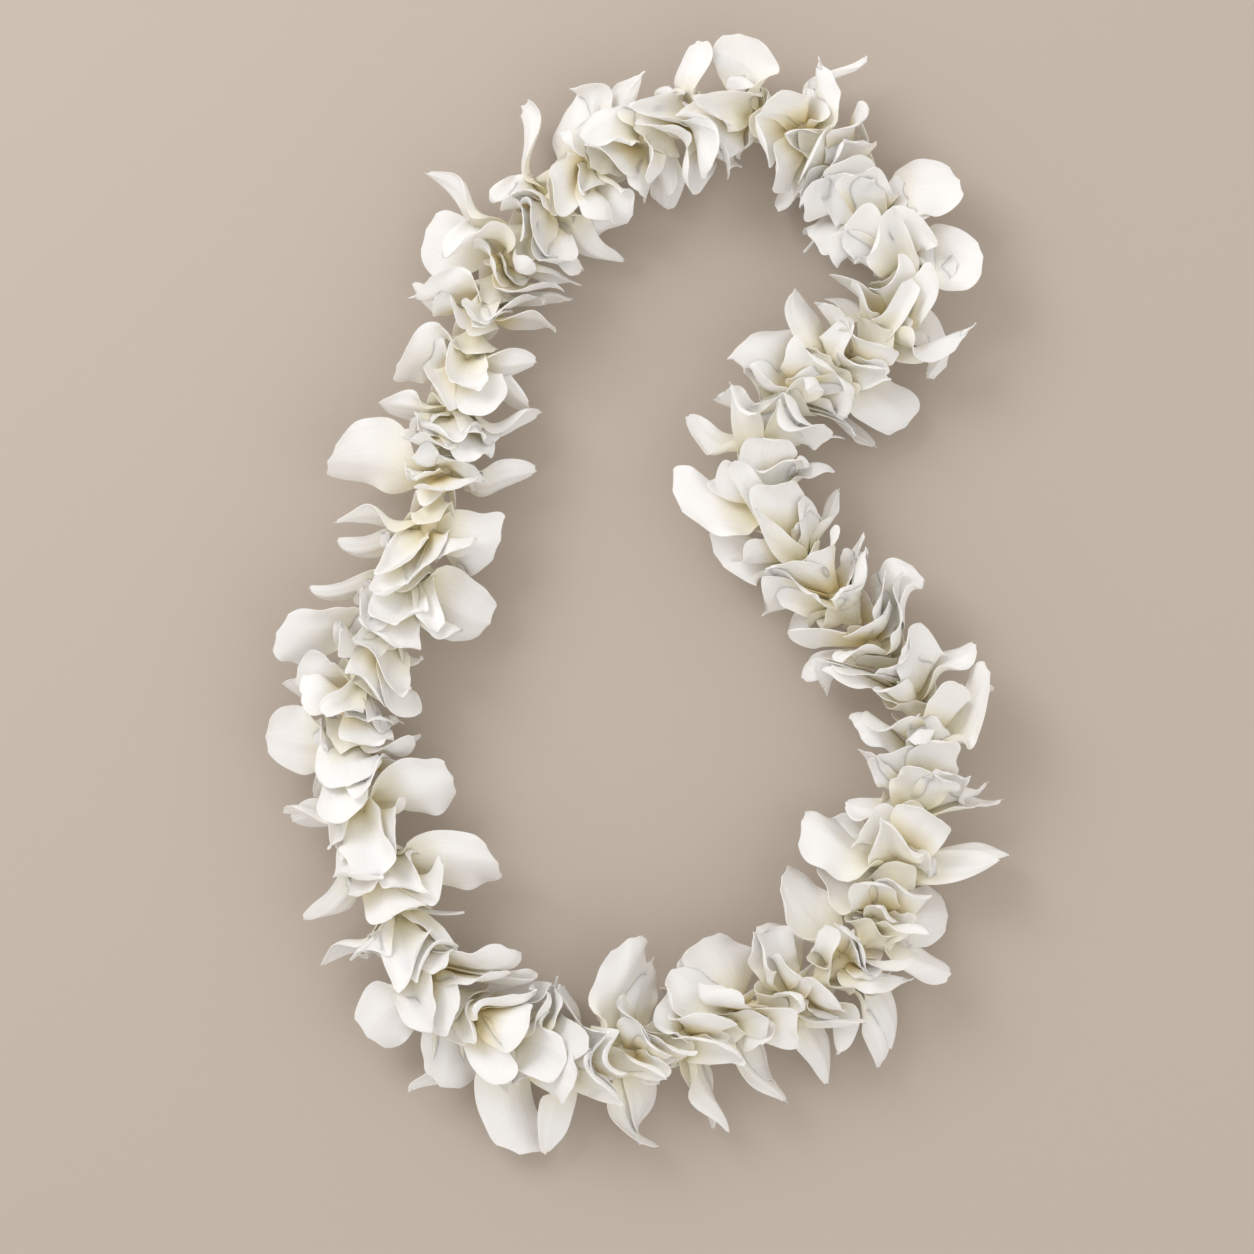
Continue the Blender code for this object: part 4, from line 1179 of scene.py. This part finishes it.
    def leaf_points(self, tepal: Tepal, nudge: float, angle: np.ndarray,
                    radius: np.ndarray) -> np.ndarray:
        """Return points of the surface that a blade lies in."""
        return self.line.place(self.leaf_s(tepal, nudge, angle, radius), angle, radius)

    def sheet(self, tepal: Tepal, nudge: float, u: np.ndarray,
              v: np.ndarray) -> tuple[np.ndarray, np.ndarray, np.ndarray]:
        """Lay a blade's middle surface in its leaf.

        Along the rib and across each row the blade is measured on the leaf itself: the fan of
        angles to each side of the rib is walked until the outline's half width is reached. The
        rib swings to one side as the sine of pi v. Bays along the edges are sines of v too,
        and whole multiples of the blade's phase make no two blades alike.

        Args:
            tepal: the blade.
            nudge: how far it is moved along in its layer.
            u: across, from -1 to 1.
            v: from root to tip, 0 to 1, a grid of rows and columns.

        Returns:
            The grid of points, and their angles and radii.
        """
        form = FORMS[tepal.kind]
        radius = np.linspace(ROOT_RADIUS, tepal.reach, self.rib_steps)
        rib = self.leaf_points(tepal, nudge, np.full(self.rib_steps, tepal.angle), radius)
        length = np.concatenate([[0], np.cumsum(np.linalg.norm(np.diff(rib, axis=0), axis=1))])
        row = np.interp(v[:, self.columns // 2] * length[-1], length, radius)[:, None]
        fan = np.linspace(-self.fan, self.fan, self.fan_steps)
        fan_points = self.leaf_points(tepal, nudge, tepal.angle + fan[None, :],
                                      cupped(row, fan[None, :], form.cup))
        walked = np.cumsum(np.linalg.norm(np.diff(fan_points, axis=1), axis=2), axis=1)
        walked = np.concatenate([np.zeros((len(v), 1)), walked], 1)
        walked -= walked[:, [self.fan_steps // 2]]
        fall = form.fall * (self.bluntness + form.point * math.sin(5 * tepal.phase))
        half = form.half_width * tepal.scale * outline(v, form.rise, fall)
        side = np.sign(u)
        lopsided = LOPSIDED * side * math.sin(3 * tepal.phase) * np.sin(math.pi * v)
        wide = WIDE_BAYS * np.sin(WIDE_BAY_RATE * v + 2 * tepal.phase + side)
        small = SMALL_BAYS * np.sin(SMALL_BAY_RATE * v + tepal.phase + 2 * side)
        half = half * (1 + wide + lopsided + small)
        bow = form.bow * math.sin(2 * tepal.phase) * np.sin(math.pi * v)
        across = u * half + bow
        turn = np.stack([np.interp(a, w, fan) for a, w in zip(across, walked)])
        reach = cupped(np.interp(v * length[-1], length, radius), turn, form.cup)
        angle = tepal.angle + turn
        return self.leaf_points(tepal, nudge, angle, reach), angle, reach

    def relief(self, tepal: Tepal, u: np.ndarray, v: np.ndarray) -> np.ndarray:
        """Work out how far a blade stands off its leaf, backwards if positive.

        The sum of: edges bent back with the square of u, a groove as a bell curve round the
        midrib, two sines of v along each edge, shallow flutes across, and a tip bent with the
        square of its last half. Factors of the blade's phase make no two alike.

        Args:
            tepal: the blade.
            u: across, from -1 to 1.
            v: along, from 0 to 1.

        Returns:
            The relief in metres.
        """
        form = FORMS[tepal.kind]
        phase = tepal.phase
        body = np.sqrt(np.clip(np.sin(math.pi * np.clip(v, 0, 1)), 0, 1))
        body = body * np.clip(v / FLAT_ROOT, 0, 1)
        side = np.where(u > 0, SIDE_PHASE, 0.0)
        ripple = (LONG_WAVE * np.sin(2 * math.pi * form.waves * v + phase + side)
                  + SHORT_WAVE * np.sin(SHORT_WAVE_RATE * math.pi * form.waves * v
                                        + 2.1 * phase - 2 * side))
        rolled = 1.0 if math.sin(2.3 * phase + 1) > ROLLED_IN_BELOW else -ROLLED_IN
        height = rolled * form.reflex * u ** 2 * body
        height += form.wave * np.abs(u) ** WAVE_EDGE * ripple * body
        height -= form.channel * np.exp(-(u / GROOVE_WIDTH) ** 2) * body
        height += FLUTE * np.cos(FLUTE_RATE * math.pi * u + phase + 2 * v) * body
        way = 1.0 if math.sin(phase * 3) > CURLED_IN_BELOW else -CURLED_IN
        height += way * form.curl * np.clip((v - CURL_FROM) / (1 - CURL_FROM), 0, 1) ** 2
        return height

    def room(self, s: np.ndarray, angle: np.ndarray,
             radius: np.ndarray) -> tuple[np.ndarray, np.ndarray]:
        """Return how far points may move forward and back before they near a neighbour."""
        ahead = self.leaves.read(self.leaves.ceiling[self.index], angle, radius) - s
        behind = s - self.leaves.read(self.leaves.floor[self.index], angle, radius)
        return tuple(np.maximum(self.room_share * gap, self.least_room)
                     for gap in (ahead, behind))

    def blade(self, tepal: Tepal, nudge: float) -> Patch:
        """Build one blade: its sheet in the leaf, its relief and its thickness.

        Rows crowd towards the tip as 1 - (1 - t) to a power, so that the end is round. A
        ragged end is cut back by two sines across it, and a pointed one by a bell curve. The
        relief is held back by the hyperbolic tangent where a neighbour is near.

        Args:
            tepal: the blade.
            nudge: how far it is moved along in its layer.

        Returns:
            Its closed patch.
        """
        form = FORMS[tepal.kind]
        u = np.linspace(-1, 1, self.columns)
        t = np.linspace(*BLADE_ENDS, self.rows)
        v = np.broadcast_to((1 - (1 - t) ** ROW_CROWDING)[:, None], (self.rows, self.columns))
        teeth = form.ragged * (1 + np.sin(TEETH_RATE * u + tepal.phase)
                               + SMALL_TEETH * np.sin(2 * TEETH_RATE * u))
        teeth = teeth + form.apex * (1 - np.exp(-(u / APEX_WIDTH) ** 2))
        v = v * (1 - np.clip(teeth, 0, DEEPEST_TOOTH) * v ** 3)
        u = np.broadcast_to(u[None], v.shape)
        middle, angle, radius = self.sheet(tepal, nudge, u, v)
        middle = smoothed(middle, self.lobe_smoothing if tepal.shares else self.smoothing)
        normal = sheet_normals(middle)
        s = self.leaf_s(tepal, nudge, angle, radius)
        ahead, behind = self.room(s, angle, radius)
        if tepal.shares:
            ahead, behind = ahead * self.lobe_room, behind * self.lobe_room
        facing = np.abs((normal * self.line.direction(s)).sum(-1)) + self.least_facing
        wanted = self.relief(tepal, u, v)
        limit = np.where(wanted > 0, behind, ahead) * facing
        relief = limit * np.tanh(wanted / limit)
        middle = middle + normal * smoothed(relief[..., None], self.softening)
        thinner = (0.5 + 0.5 * np.sqrt(1 - THIN_EDGE * u ** 2)) * (THICK_ROOT - THIN_TIP * v)
        thickness = form.thickness * thinner
        middle = on_table(middle, thickness / 2)
        lip = 1.0 if tepal.kind in (Kind.LIP, Kind.LOBE) else 0.0
        depth = np.clip(1 - v / self.cream_to, 0, 1)
        return Patch.shell(middle, thickness, np.stack([(u + 1) / 2, v], -1), depth, lip)

    def throat(self) -> Patch:
        """Build the lip's throat, a ruffled funnel round the column.

        The funnel's radius grows from the column to the rim as t to a power, it rises through
        the free space in front of the bloom's blades, and two sines ruffle its rim. It is open
        opposite the lip, and lowest there.

        Returns:
            Its closed patch.
        """
        lip = next(t for t in self.tepals if t.kind is Kind.LIP)
        turn = np.linspace(-self.throat_turn, self.throat_turn, self.throat_columns)[None]
        t = np.linspace(0, 1, self.throat_rows)[:, None]
        phase = lip.phase + self.index
        ruffle = WIDE_RUFFLE * np.sin(3 * turn + phase) + FINE_RUFFLE * np.sin(7 * turn + 2 * phase)
        tall = 1 - THROAT_DIP + THROAT_DIP * np.cos(turn) + ruffle
        low, high = self.throat_radii
        radius = low + (high - low) * t ** THROAT_FLARE * tall
        root, rim = self.throat_shares
        share = root + (rim - root) * t + RIM_SWAY * t ** 2 * np.sin(4 * turn - phase)
        angle = lip.angle + turn + 0 * t
        s = self.leaves.ahead_of(self.index, share, angle, radius)
        return self.funnel(turn, t, self.line.place(s, angle, radius), self.throat_thickness,
                           self.throat_depth, 1.0)

    def calyx(self) -> Patch:
        """Build the bloom's narrow base, a funnel behind the blades that grow from its rim.

        It rises through the free space behind the bloom's blades. Its radius grows from the
        column to the rim as t to a power, with three low swellings round it.

        Returns:
            Its closed patch.
        """
        turn = np.linspace(-math.pi, math.pi, self.calyx_columns)[None]
        t = np.linspace(0, 1, self.calyx_rows)[:, None]
        low, high = self.calyx_radii
        swell = 1 + self.calyx_swell * t * np.sin(3 * turn + self.index)
        radius = (low + (high - low) * t ** self.calyx_flare) * swell
        root, rim = self.calyx_shares
        share = root + (rim - root) * t + 0 * turn
        angle = turn + 0 * t
        s = self.leaves.behind(self.index, share, angle, radius)
        return self.funnel(turn, t, self.line.place(s, angle, radius), self.calyx_thickness,
                           self.calyx_depth, 0.0)

    def funnel(self, turn: np.ndarray, t: np.ndarray, middle: np.ndarray, thickness: float,
               inside: tuple[float, float], lip: float) -> Patch:
        """Give a funnel its thickness, which falls to the rim, and its colour.

        Args:
            turn: angles round it, one row.
            t: from its root to its rim, 0 to 1, one column.
            middle: the grid of its middle points.
            thickness: its mean thickness at the root.
            inside: how near the throat its root counts, and what is lost up to the rim.
            lip: 1 for a lip's colour and 0 for a tepal's.

        Returns:
            Its closed patch.
        """
        grid = 0 * (t + turn)
        fibre = np.stack([(turn / turn.max() + 1) / 2 + grid, t + grid], -1)
        depth = np.clip(inside[0] - inside[1] * t, 0, 1) + grid
        thickness = thickness * (THICK_THROAT - THIN_TIP * t) + grid
        return Patch.shell(middle, thickness, fibre, depth, lip)

    def column(self) -> Patch:
        """Build the column and the stub of stalk behind it, round the hole for the thread.

        The profile is a list of places along the string and radii, out along the outside and
        back along the hole, carried round the string.

        Returns:
            Its closed patch.
        """
        profile = np.array(COLUMN_PROFILE) * MM
        inner = np.stack([profile[::-1, 0], np.full(len(profile), self.hole_radius)], 1)
        profile = np.concatenate([profile, inner])
        turn = np.linspace(0, 2 * math.pi, self.column_sides, endpoint=False)[None]
        s = self.station + profile[:, :1] + 0 * turn
        radius = profile[:, 1:] * (1 + self.column_waist * np.cos(2 * turn))
        points = self.line.place(s, turn + 0 * s, radius)
        depth = np.clip(0.5 + profile[:, 0] / self.column_fade, *self.column_depth)
        return Patch.ring(points[:, ::-1], depth, self.column_lip)


def cupped(row: np.ndarray, turn: np.ndarray, cup: float) -> np.ndarray:
    """Return a row's radius at a turn from its rib: straight across at 0, round at 1."""
    return row * (1 + (1 / np.cos(turn) - 1) * (1 - cup))


@dataclass
class Thread:
    """The closed cotton thread that the blooms hang on, three plies laid in a twist.

    Attributes:
        line: the string's centreline.
        radius: mean radius of the thread.
        pitch: length of one twist.
        plies: how many plies are twisted.
        relief: how far the plies stand out, over the radius.
        step: distance between its rings of points.
        sides: points in a ring.
    """

    line: StringLine
    radius: float = 0.6 * MM
    pitch: float = 6.0 * MM
    plies: int = 3
    relief: float = 0.14
    step: float = 0.8 * MM
    sides: int = 15

    def build(self, material: bpy.types.Material) -> bpy.types.Object:
        """Build the thread's piece, which replaces the string.

        Its section is a circle with one swelling for each ply, turned evenly along its length.

        Args:
            material: its finish.

        Returns:
            The piece.
        """
        rings = round(self.line.length / self.step)
        twists = round(self.line.length / self.pitch)
        s = np.linspace(0, self.line.length, rings, endpoint=False)[:, None]
        turn = np.linspace(0, 2 * math.pi, self.sides, endpoint=False)[None]
        lay = turn - 2 * math.pi * twists * s / self.line.length
        radius = self.radius * (1 + self.relief * np.cos(self.plies * lay))
        points = self.line.place(s + 0 * turn, turn + 0 * s, radius)
        patch = Patch.ring(points[:, ::-1], np.zeros(rings), 0.0)
        piece = make_piece("thread", [patch], material)
        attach(piece, BODY)
        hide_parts("string")
        return piece


def linear(colour: str) -> tuple[float, float, float, float]:
    """Turn an sRGB hex colour such as "#f4f1e8" into a linear one with full opacity."""
    parts = (int(colour[i:i + 2], 16) / 255 for i in (1, 3, 5))
    red, green, blue = (c / 12.92 if c <= 0.04045 else ((c + 0.055) / 1.055) ** 2.4
                        for c in parts)
    return red, green, blue, 1.0


def noise_scale(size: float) -> float:
    """Return the scale at which a noise's patches are of a size: two of them to its period."""
    return 0.5 / size


def add_node(tree: bpy.types.NodeTree, kind: str, settings: dict[str, object] | None = None,
             inputs: dict[str | int, object] | None = None) -> bpy.types.Node:
    """Add a node, set it and link it.

    Args:
        tree: the material's node tree.
        kind: the node's type name, such as ShaderNodeTexNoise.
        settings: its own properties.
        inputs: for each input, a value or the output socket that feeds it.

    Returns:
        The node.
    """
    node = tree.nodes.new(kind)
    for name, value in (settings or {}).items():
        setattr(node, name, value)
    for name, value in (inputs or {}).items():
        if isinstance(value, bpy.types.NodeSocket):
            tree.links.new(value, node.inputs[name])
        else:
            node.inputs[name].default_value = value
    return node


def new_material(name: str) -> tuple[bpy.types.Material, bpy.types.NodeTree, bpy.types.Node]:
    """Start a material and return it with its tree and its Principled shader."""
    material = bpy.data.materials.new(name)
    material.use_nodes = True
    tree = material.node_tree
    return material, tree, tree.nodes["Principled BSDF"]


@dataclass(frozen=True)
class PetalFinish:
    """Fresh white orchid tissue: waxy, thin enough to let light through, with fine veins.

    It gives the eye a clean soft white that turns creamy inside the bloom, a silky sheen where
    a petal bends, and edges that glow because light passes through them.

    Attributes:
        white: the open part of a tepal.
        cream: its lower part.
        cream_at: the depth at which it is cream.
        throat: the yellow-green at its base.
        lip_throat: the tan inside of the lip.
        vein: the colour that the veins lean to.
        vein_spacing: distance between veins at the widest place of a petal.
        petal_width: that width.
        vein_stretch: how many patches long a vein is.
        vein_range: the noise from which a vein starts and at which it is full.
        vein_uneven: how strongly finer noise breaks the veins up.
        vein_bend: how far it bends them, in their own widths.
        vein_shade: how much of its colour a vein takes.
        cell: size of the surface's cells, coarser than real ones so that they show.
        bump: how strongly veins and cells show as relief.
        bump_height: the height of that relief.
        roughness: how matt the surface is.
        specular: how much it reflects.
        glow: how much light passes into the tissue.
        glow_depth: how far it gets there.
        glow_colour: how far red, green and blue get, over that.
    """

    white: str = "#fdfcfa"
    cream: str = "#f8f2de"
    cream_at: float = 0.55
    throat: str = "#e9e0b6"
    lip_throat: str = "#d8c48e"
    vein: str = "#c9c0a4"
    vein_spacing: float = 1.5 * MM
    petal_width: float = 34.0 * MM
    vein_stretch: float = 1.6
    vein_range: tuple[float, float] = (0.35, 0.7)
    vein_uneven: float = 0.6
    vein_bend: float = 0.15
    vein_shade: float = 0.06
    cell: float = 0.8 * MM
    bump: float = 0.6
    bump_height: float = 0.15 * MM
    roughness: float = 0.46
    specular: float = 0.42
    glow: float = 0.5
    glow_depth: float = 1.6 * MM
    glow_colour: tuple[float, float, float] = (1.0, 0.94, 0.8)

    def build(self) -> bpy.types.Material:
        """Build the material.

        Colour runs from white at the tip through cream to yellow-green in the throat with the
        depth attribute, veins are bands across the fibre map, bent a little by noise, and a
        fine cell noise gives the surface its soft sparkle.

        Returns:
            The material.
        """
        material, tree, shader = new_material("fresh orchid petal")
        depth = add_node(tree, "ShaderNodeAttribute", {"attribute_name": "depth"})
        lip = add_node(tree, "ShaderNodeAttribute", {"attribute_name": "lip"})
        fibre = add_node(tree, "ShaderNodeUVMap", {"uv_map": "fibre"})
        place = add_node(tree, "ShaderNodeTexCoord")
        ramp = add_node(tree, "ShaderNodeValToRGB", inputs={"Fac": depth.outputs["Fac"]})
        stops = ramp.color_ramp.elements
        stops[0].position, stops[0].color = 0.0, linear(self.white)
        stops[1].position, stops[1].color = 1.0, linear(self.throat)
        middle = stops.new(self.cream_at)
        middle.color = linear(self.cream)
        inner = add_node(tree, "ShaderNodeMath", {"operation": "MULTIPLY"},
                         {0: depth.outputs["Fac"], 1: lip.outputs["Fac"]})
        lipped = add_node(tree, "ShaderNodeMix", {"data_type": "RGBA"},
                          {"Factor": inner.outputs[0], "A": ramp.outputs["Color"],
                           "B": linear(self.lip_throat)})
        bands = self.petal_width / self.vein_spacing
        streaks = add_node(tree, "ShaderNodeMapping", inputs={
            "Vector": fibre.outputs["UV"], "Scale": (bands, self.vein_stretch, 1.0)})
        veins = add_node(tree, "ShaderNodeTexNoise", {"noise_dimensions": "2D"}, {
            "Vector": streaks.outputs["Vector"], "Scale": 1.0, "Detail": 3.0,
            "Roughness": self.vein_uneven, "Distortion": self.vein_bend})
        line = add_node(tree, "ShaderNodeMapRange", inputs={
            "Value": veins.outputs["Fac"], "From Min": self.vein_range[0],
            "From Max": self.vein_range[1], "To Min": 0.0, "To Max": self.vein_shade})
        veined = add_node(tree, "ShaderNodeMix", {"data_type": "RGBA"},
                          {"Factor": line.outputs["Result"], "A": lipped.outputs["Result"],
                           "B": linear(self.vein)})
        cells = add_node(tree, "ShaderNodeTexNoise", inputs={
            "Vector": place.outputs["Object"], "Scale": noise_scale(self.cell), "Detail": 2.0})
        height = add_node(tree, "ShaderNodeMath", {"operation": "MULTIPLY_ADD"},
                          {0: veins.outputs["Fac"], 1: 1.0, 2: cells.outputs["Fac"]})
        bump = add_node(tree, "ShaderNodeBump", inputs={
            "Height": height.outputs[0], "Strength": self.bump, "Distance": self.bump_height})
        tree.links.new(veined.outputs["Result"], shader.inputs["Base Color"])
        tree.links.new(bump.outputs["Normal"], shader.inputs["Normal"])
        shader.inputs["Roughness"].default_value = self.roughness
        shader.inputs["Specular IOR Level"].default_value = self.specular
        shader.inputs["Subsurface Weight"].default_value = self.glow
        shader.inputs["Subsurface Radius"].default_value = self.glow_colour
        shader.inputs["Subsurface Scale"].default_value = self.glow_depth
        return material


@dataclass(frozen=True)
class ThreadFinish:
    """Undyed spun cotton, which gives the eye a matt cream with fine fibres across each ply.

    Attributes:
        colour: its lighter cream.
        shade: its darker one.
        fibre_width: the width of a fibre, coarser than a real one so that it shows.
        bump: how strongly the fibres show as relief.
        bump_height: the height of that relief.
        roughness: how matt it is.
    """

    colour: str = "#e2dcc8"
    shade: str = "#c5bb9f"
    fibre_width: float = 0.2 * MM
    bump: float = 0.4
    bump_height: float = 0.1 * MM
    roughness: float = 0.85

    def build(self) -> bpy.types.Material:
        """Build the material: two creams mixed by a noise as fine as the fibres."""
        material, tree, shader = new_material("spun cotton thread")
        place = add_node(tree, "ShaderNodeTexCoord")
        noise = add_node(tree, "ShaderNodeTexNoise", inputs={
            "Vector": place.outputs["Object"], "Scale": noise_scale(self.fibre_width),
            "Detail": 3.0})
        mixed = add_node(tree, "ShaderNodeMix", {"data_type": "RGBA"},
                         {"Factor": noise.outputs["Fac"], "A": linear(self.colour),
                          "B": linear(self.shade)})
        bump = add_node(tree, "ShaderNodeBump", inputs={
            "Height": noise.outputs["Fac"], "Strength": self.bump, "Distance": self.bump_height})
        tree.links.new(mixed.outputs["Result"], shader.inputs["Base Color"])
        tree.links.new(bump.outputs["Normal"], shader.inputs["Normal"])
        shader.inputs["Roughness"].default_value = self.roughness
        return material


@dataclass
class Studio:
    """A plain pale floor, soft light from the upper left and a camera straight above.

    Attributes:
        distance: from the camera to the string's height.
        sensor: the width of the camera's sensor in millimetres.
        floor_size: the side of the floor.
        floor_colour: its sRGB colour.
        floor_roughness: how matt it is.
        key_place: where the main light stands.
        key_size: its side.
        key_power: its power in watts.
        key_colour: its sRGB colour.
        fill_place: where the light that softens the shadows stands.
        fill_size: its side.
        fill_power: its power in watts.
        fill_colour: its sRGB colour.
        sky: the strength of the light from all round.
        sky_colour: its sRGB colour.
    """

    distance: float = 1.6
    sensor: float = 36.0
    floor_size: float = 3.0
    floor_colour: str = "#bbb0a5"
    floor_roughness: float = 0.8
    key_place: tuple[float, float, float] = (-0.75, 0.75, 1.05)
    key_size: float = 0.7
    key_power: float = 8.0
    key_colour: str = "#fdfdff"
    fill_place: tuple[float, float, float] = (0.9, -0.5, 1.3)
    fill_size: float = 1.4
    fill_power: float = 2.7
    fill_colour: str = "#ffffff"
    sky: float = 0.82
    sky_colour: str = "#fffbf6"

    def build(self) -> None:
        """Build the floor, the lights, the sky and the camera."""
        self.floor()
        self.light("key", self.key_place, self.key_size, self.key_power, self.key_colour)
        self.light("fill", self.fill_place, self.fill_size, self.fill_power, self.fill_colour)
        world = bpy.data.worlds.new("sky")
        world.use_nodes = True
        background = world.node_tree.nodes["Background"]
        background.inputs["Color"].default_value = linear(self.sky_colour)
        background.inputs["Strength"].default_value = self.sky
        bpy.context.scene.world = world
        bpy.context.scene.view_settings.view_transform = "Standard"
        self.camera()

    def floor(self) -> None:
        """Build the floor, a square at the height that the lei lies on."""
        half = self.floor_size / 2
        mesh = bpy.data.meshes.new("floor")
        mesh.from_pydata([(-half, -half, 0), (half, -half, 0), (half, half, 0), (-half, half, 0)],
                         [], [(0, 1, 2, 3)])
        material, _, shader = new_material("plain matt floor")
        shader.inputs["Base Color"].default_value = linear(self.floor_colour)
        shader.inputs["Roughness"].default_value = self.floor_roughness
        mesh.materials.append(material)
        floor = bpy.data.objects.new("floor", mesh)
        bpy.context.scene.collection.objects.link(floor)

    def light(self, name: str, place: tuple[float, float, float], size: float, power: float,
              colour: str) -> None:
        """Add a square area light that faces the lei.

        Args:
            name: its name.
            place: where it stands, in metres.
            size: its side, in metres.
            power: its power in watts.
            colour: its sRGB colour.
        """
        data = bpy.data.lights.new(name, "AREA")
        data.size = size
        data.energy = power
        data.color = linear(colour)[:3]
        lamp = bpy.data.objects.new(name, data)
        lamp.location = place
        lamp.rotation_euler = Vector(place).to_track_quat("Z", "Y").to_euler()
        bpy.context.scene.collection.objects.link(lamp)

    def camera(self) -> None:
        """Add the camera: straight down, with the plan's whole span in view at the string."""
        middle = plan_to_metres((PLAN_SPAN / 2, PLAN_SPAN / 2))
        data = bpy.data.cameras.new("camera")
        data.sensor_width = self.sensor
        data.lens = self.sensor * self.distance / (PLAN_SPAN * PLAN_UNIT)
        camera = bpy.data.objects.new("camera", data)
        camera.location = (middle[0], middle[1], STRING_HEIGHT + self.distance)
        bpy.context.scene.collection.objects.link(camera)
        bpy.context.scene.camera = camera


def main() -> None:
    """Build the thread and every bloom on the frame, then the studio."""
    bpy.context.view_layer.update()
    line = StringLine()
    plan = BloomPlan(line)
    stations = plan.stations()
    blooms = [plan.bloom(i + 1, station) for i, station in enumerate(stations)]
    leaves = Leaves(line, stations, blooms)
    log.info("settled the leaves of %d blooms on %.0f mm of string", len(blooms),
             line.length / MM)
    thread = Thread(line).build(ThreadFinish().build())
    log.info("%s: %d faces", thread.name, len(thread.data.polygons))
    petal = PetalFinish().build()
    for index, (station, tepals) in enumerate(zip(stations, blooms)):
        piece = Bloom(line, leaves, index, station, tepals).build(petal)
        log.info("%s: %d faces", piece.name, len(piece.data.polygons))
    Studio().build()


if __name__ == "__main__":
    logging.basicConfig(level=logging.INFO, format="%(name)s: %(message)s")
    main()
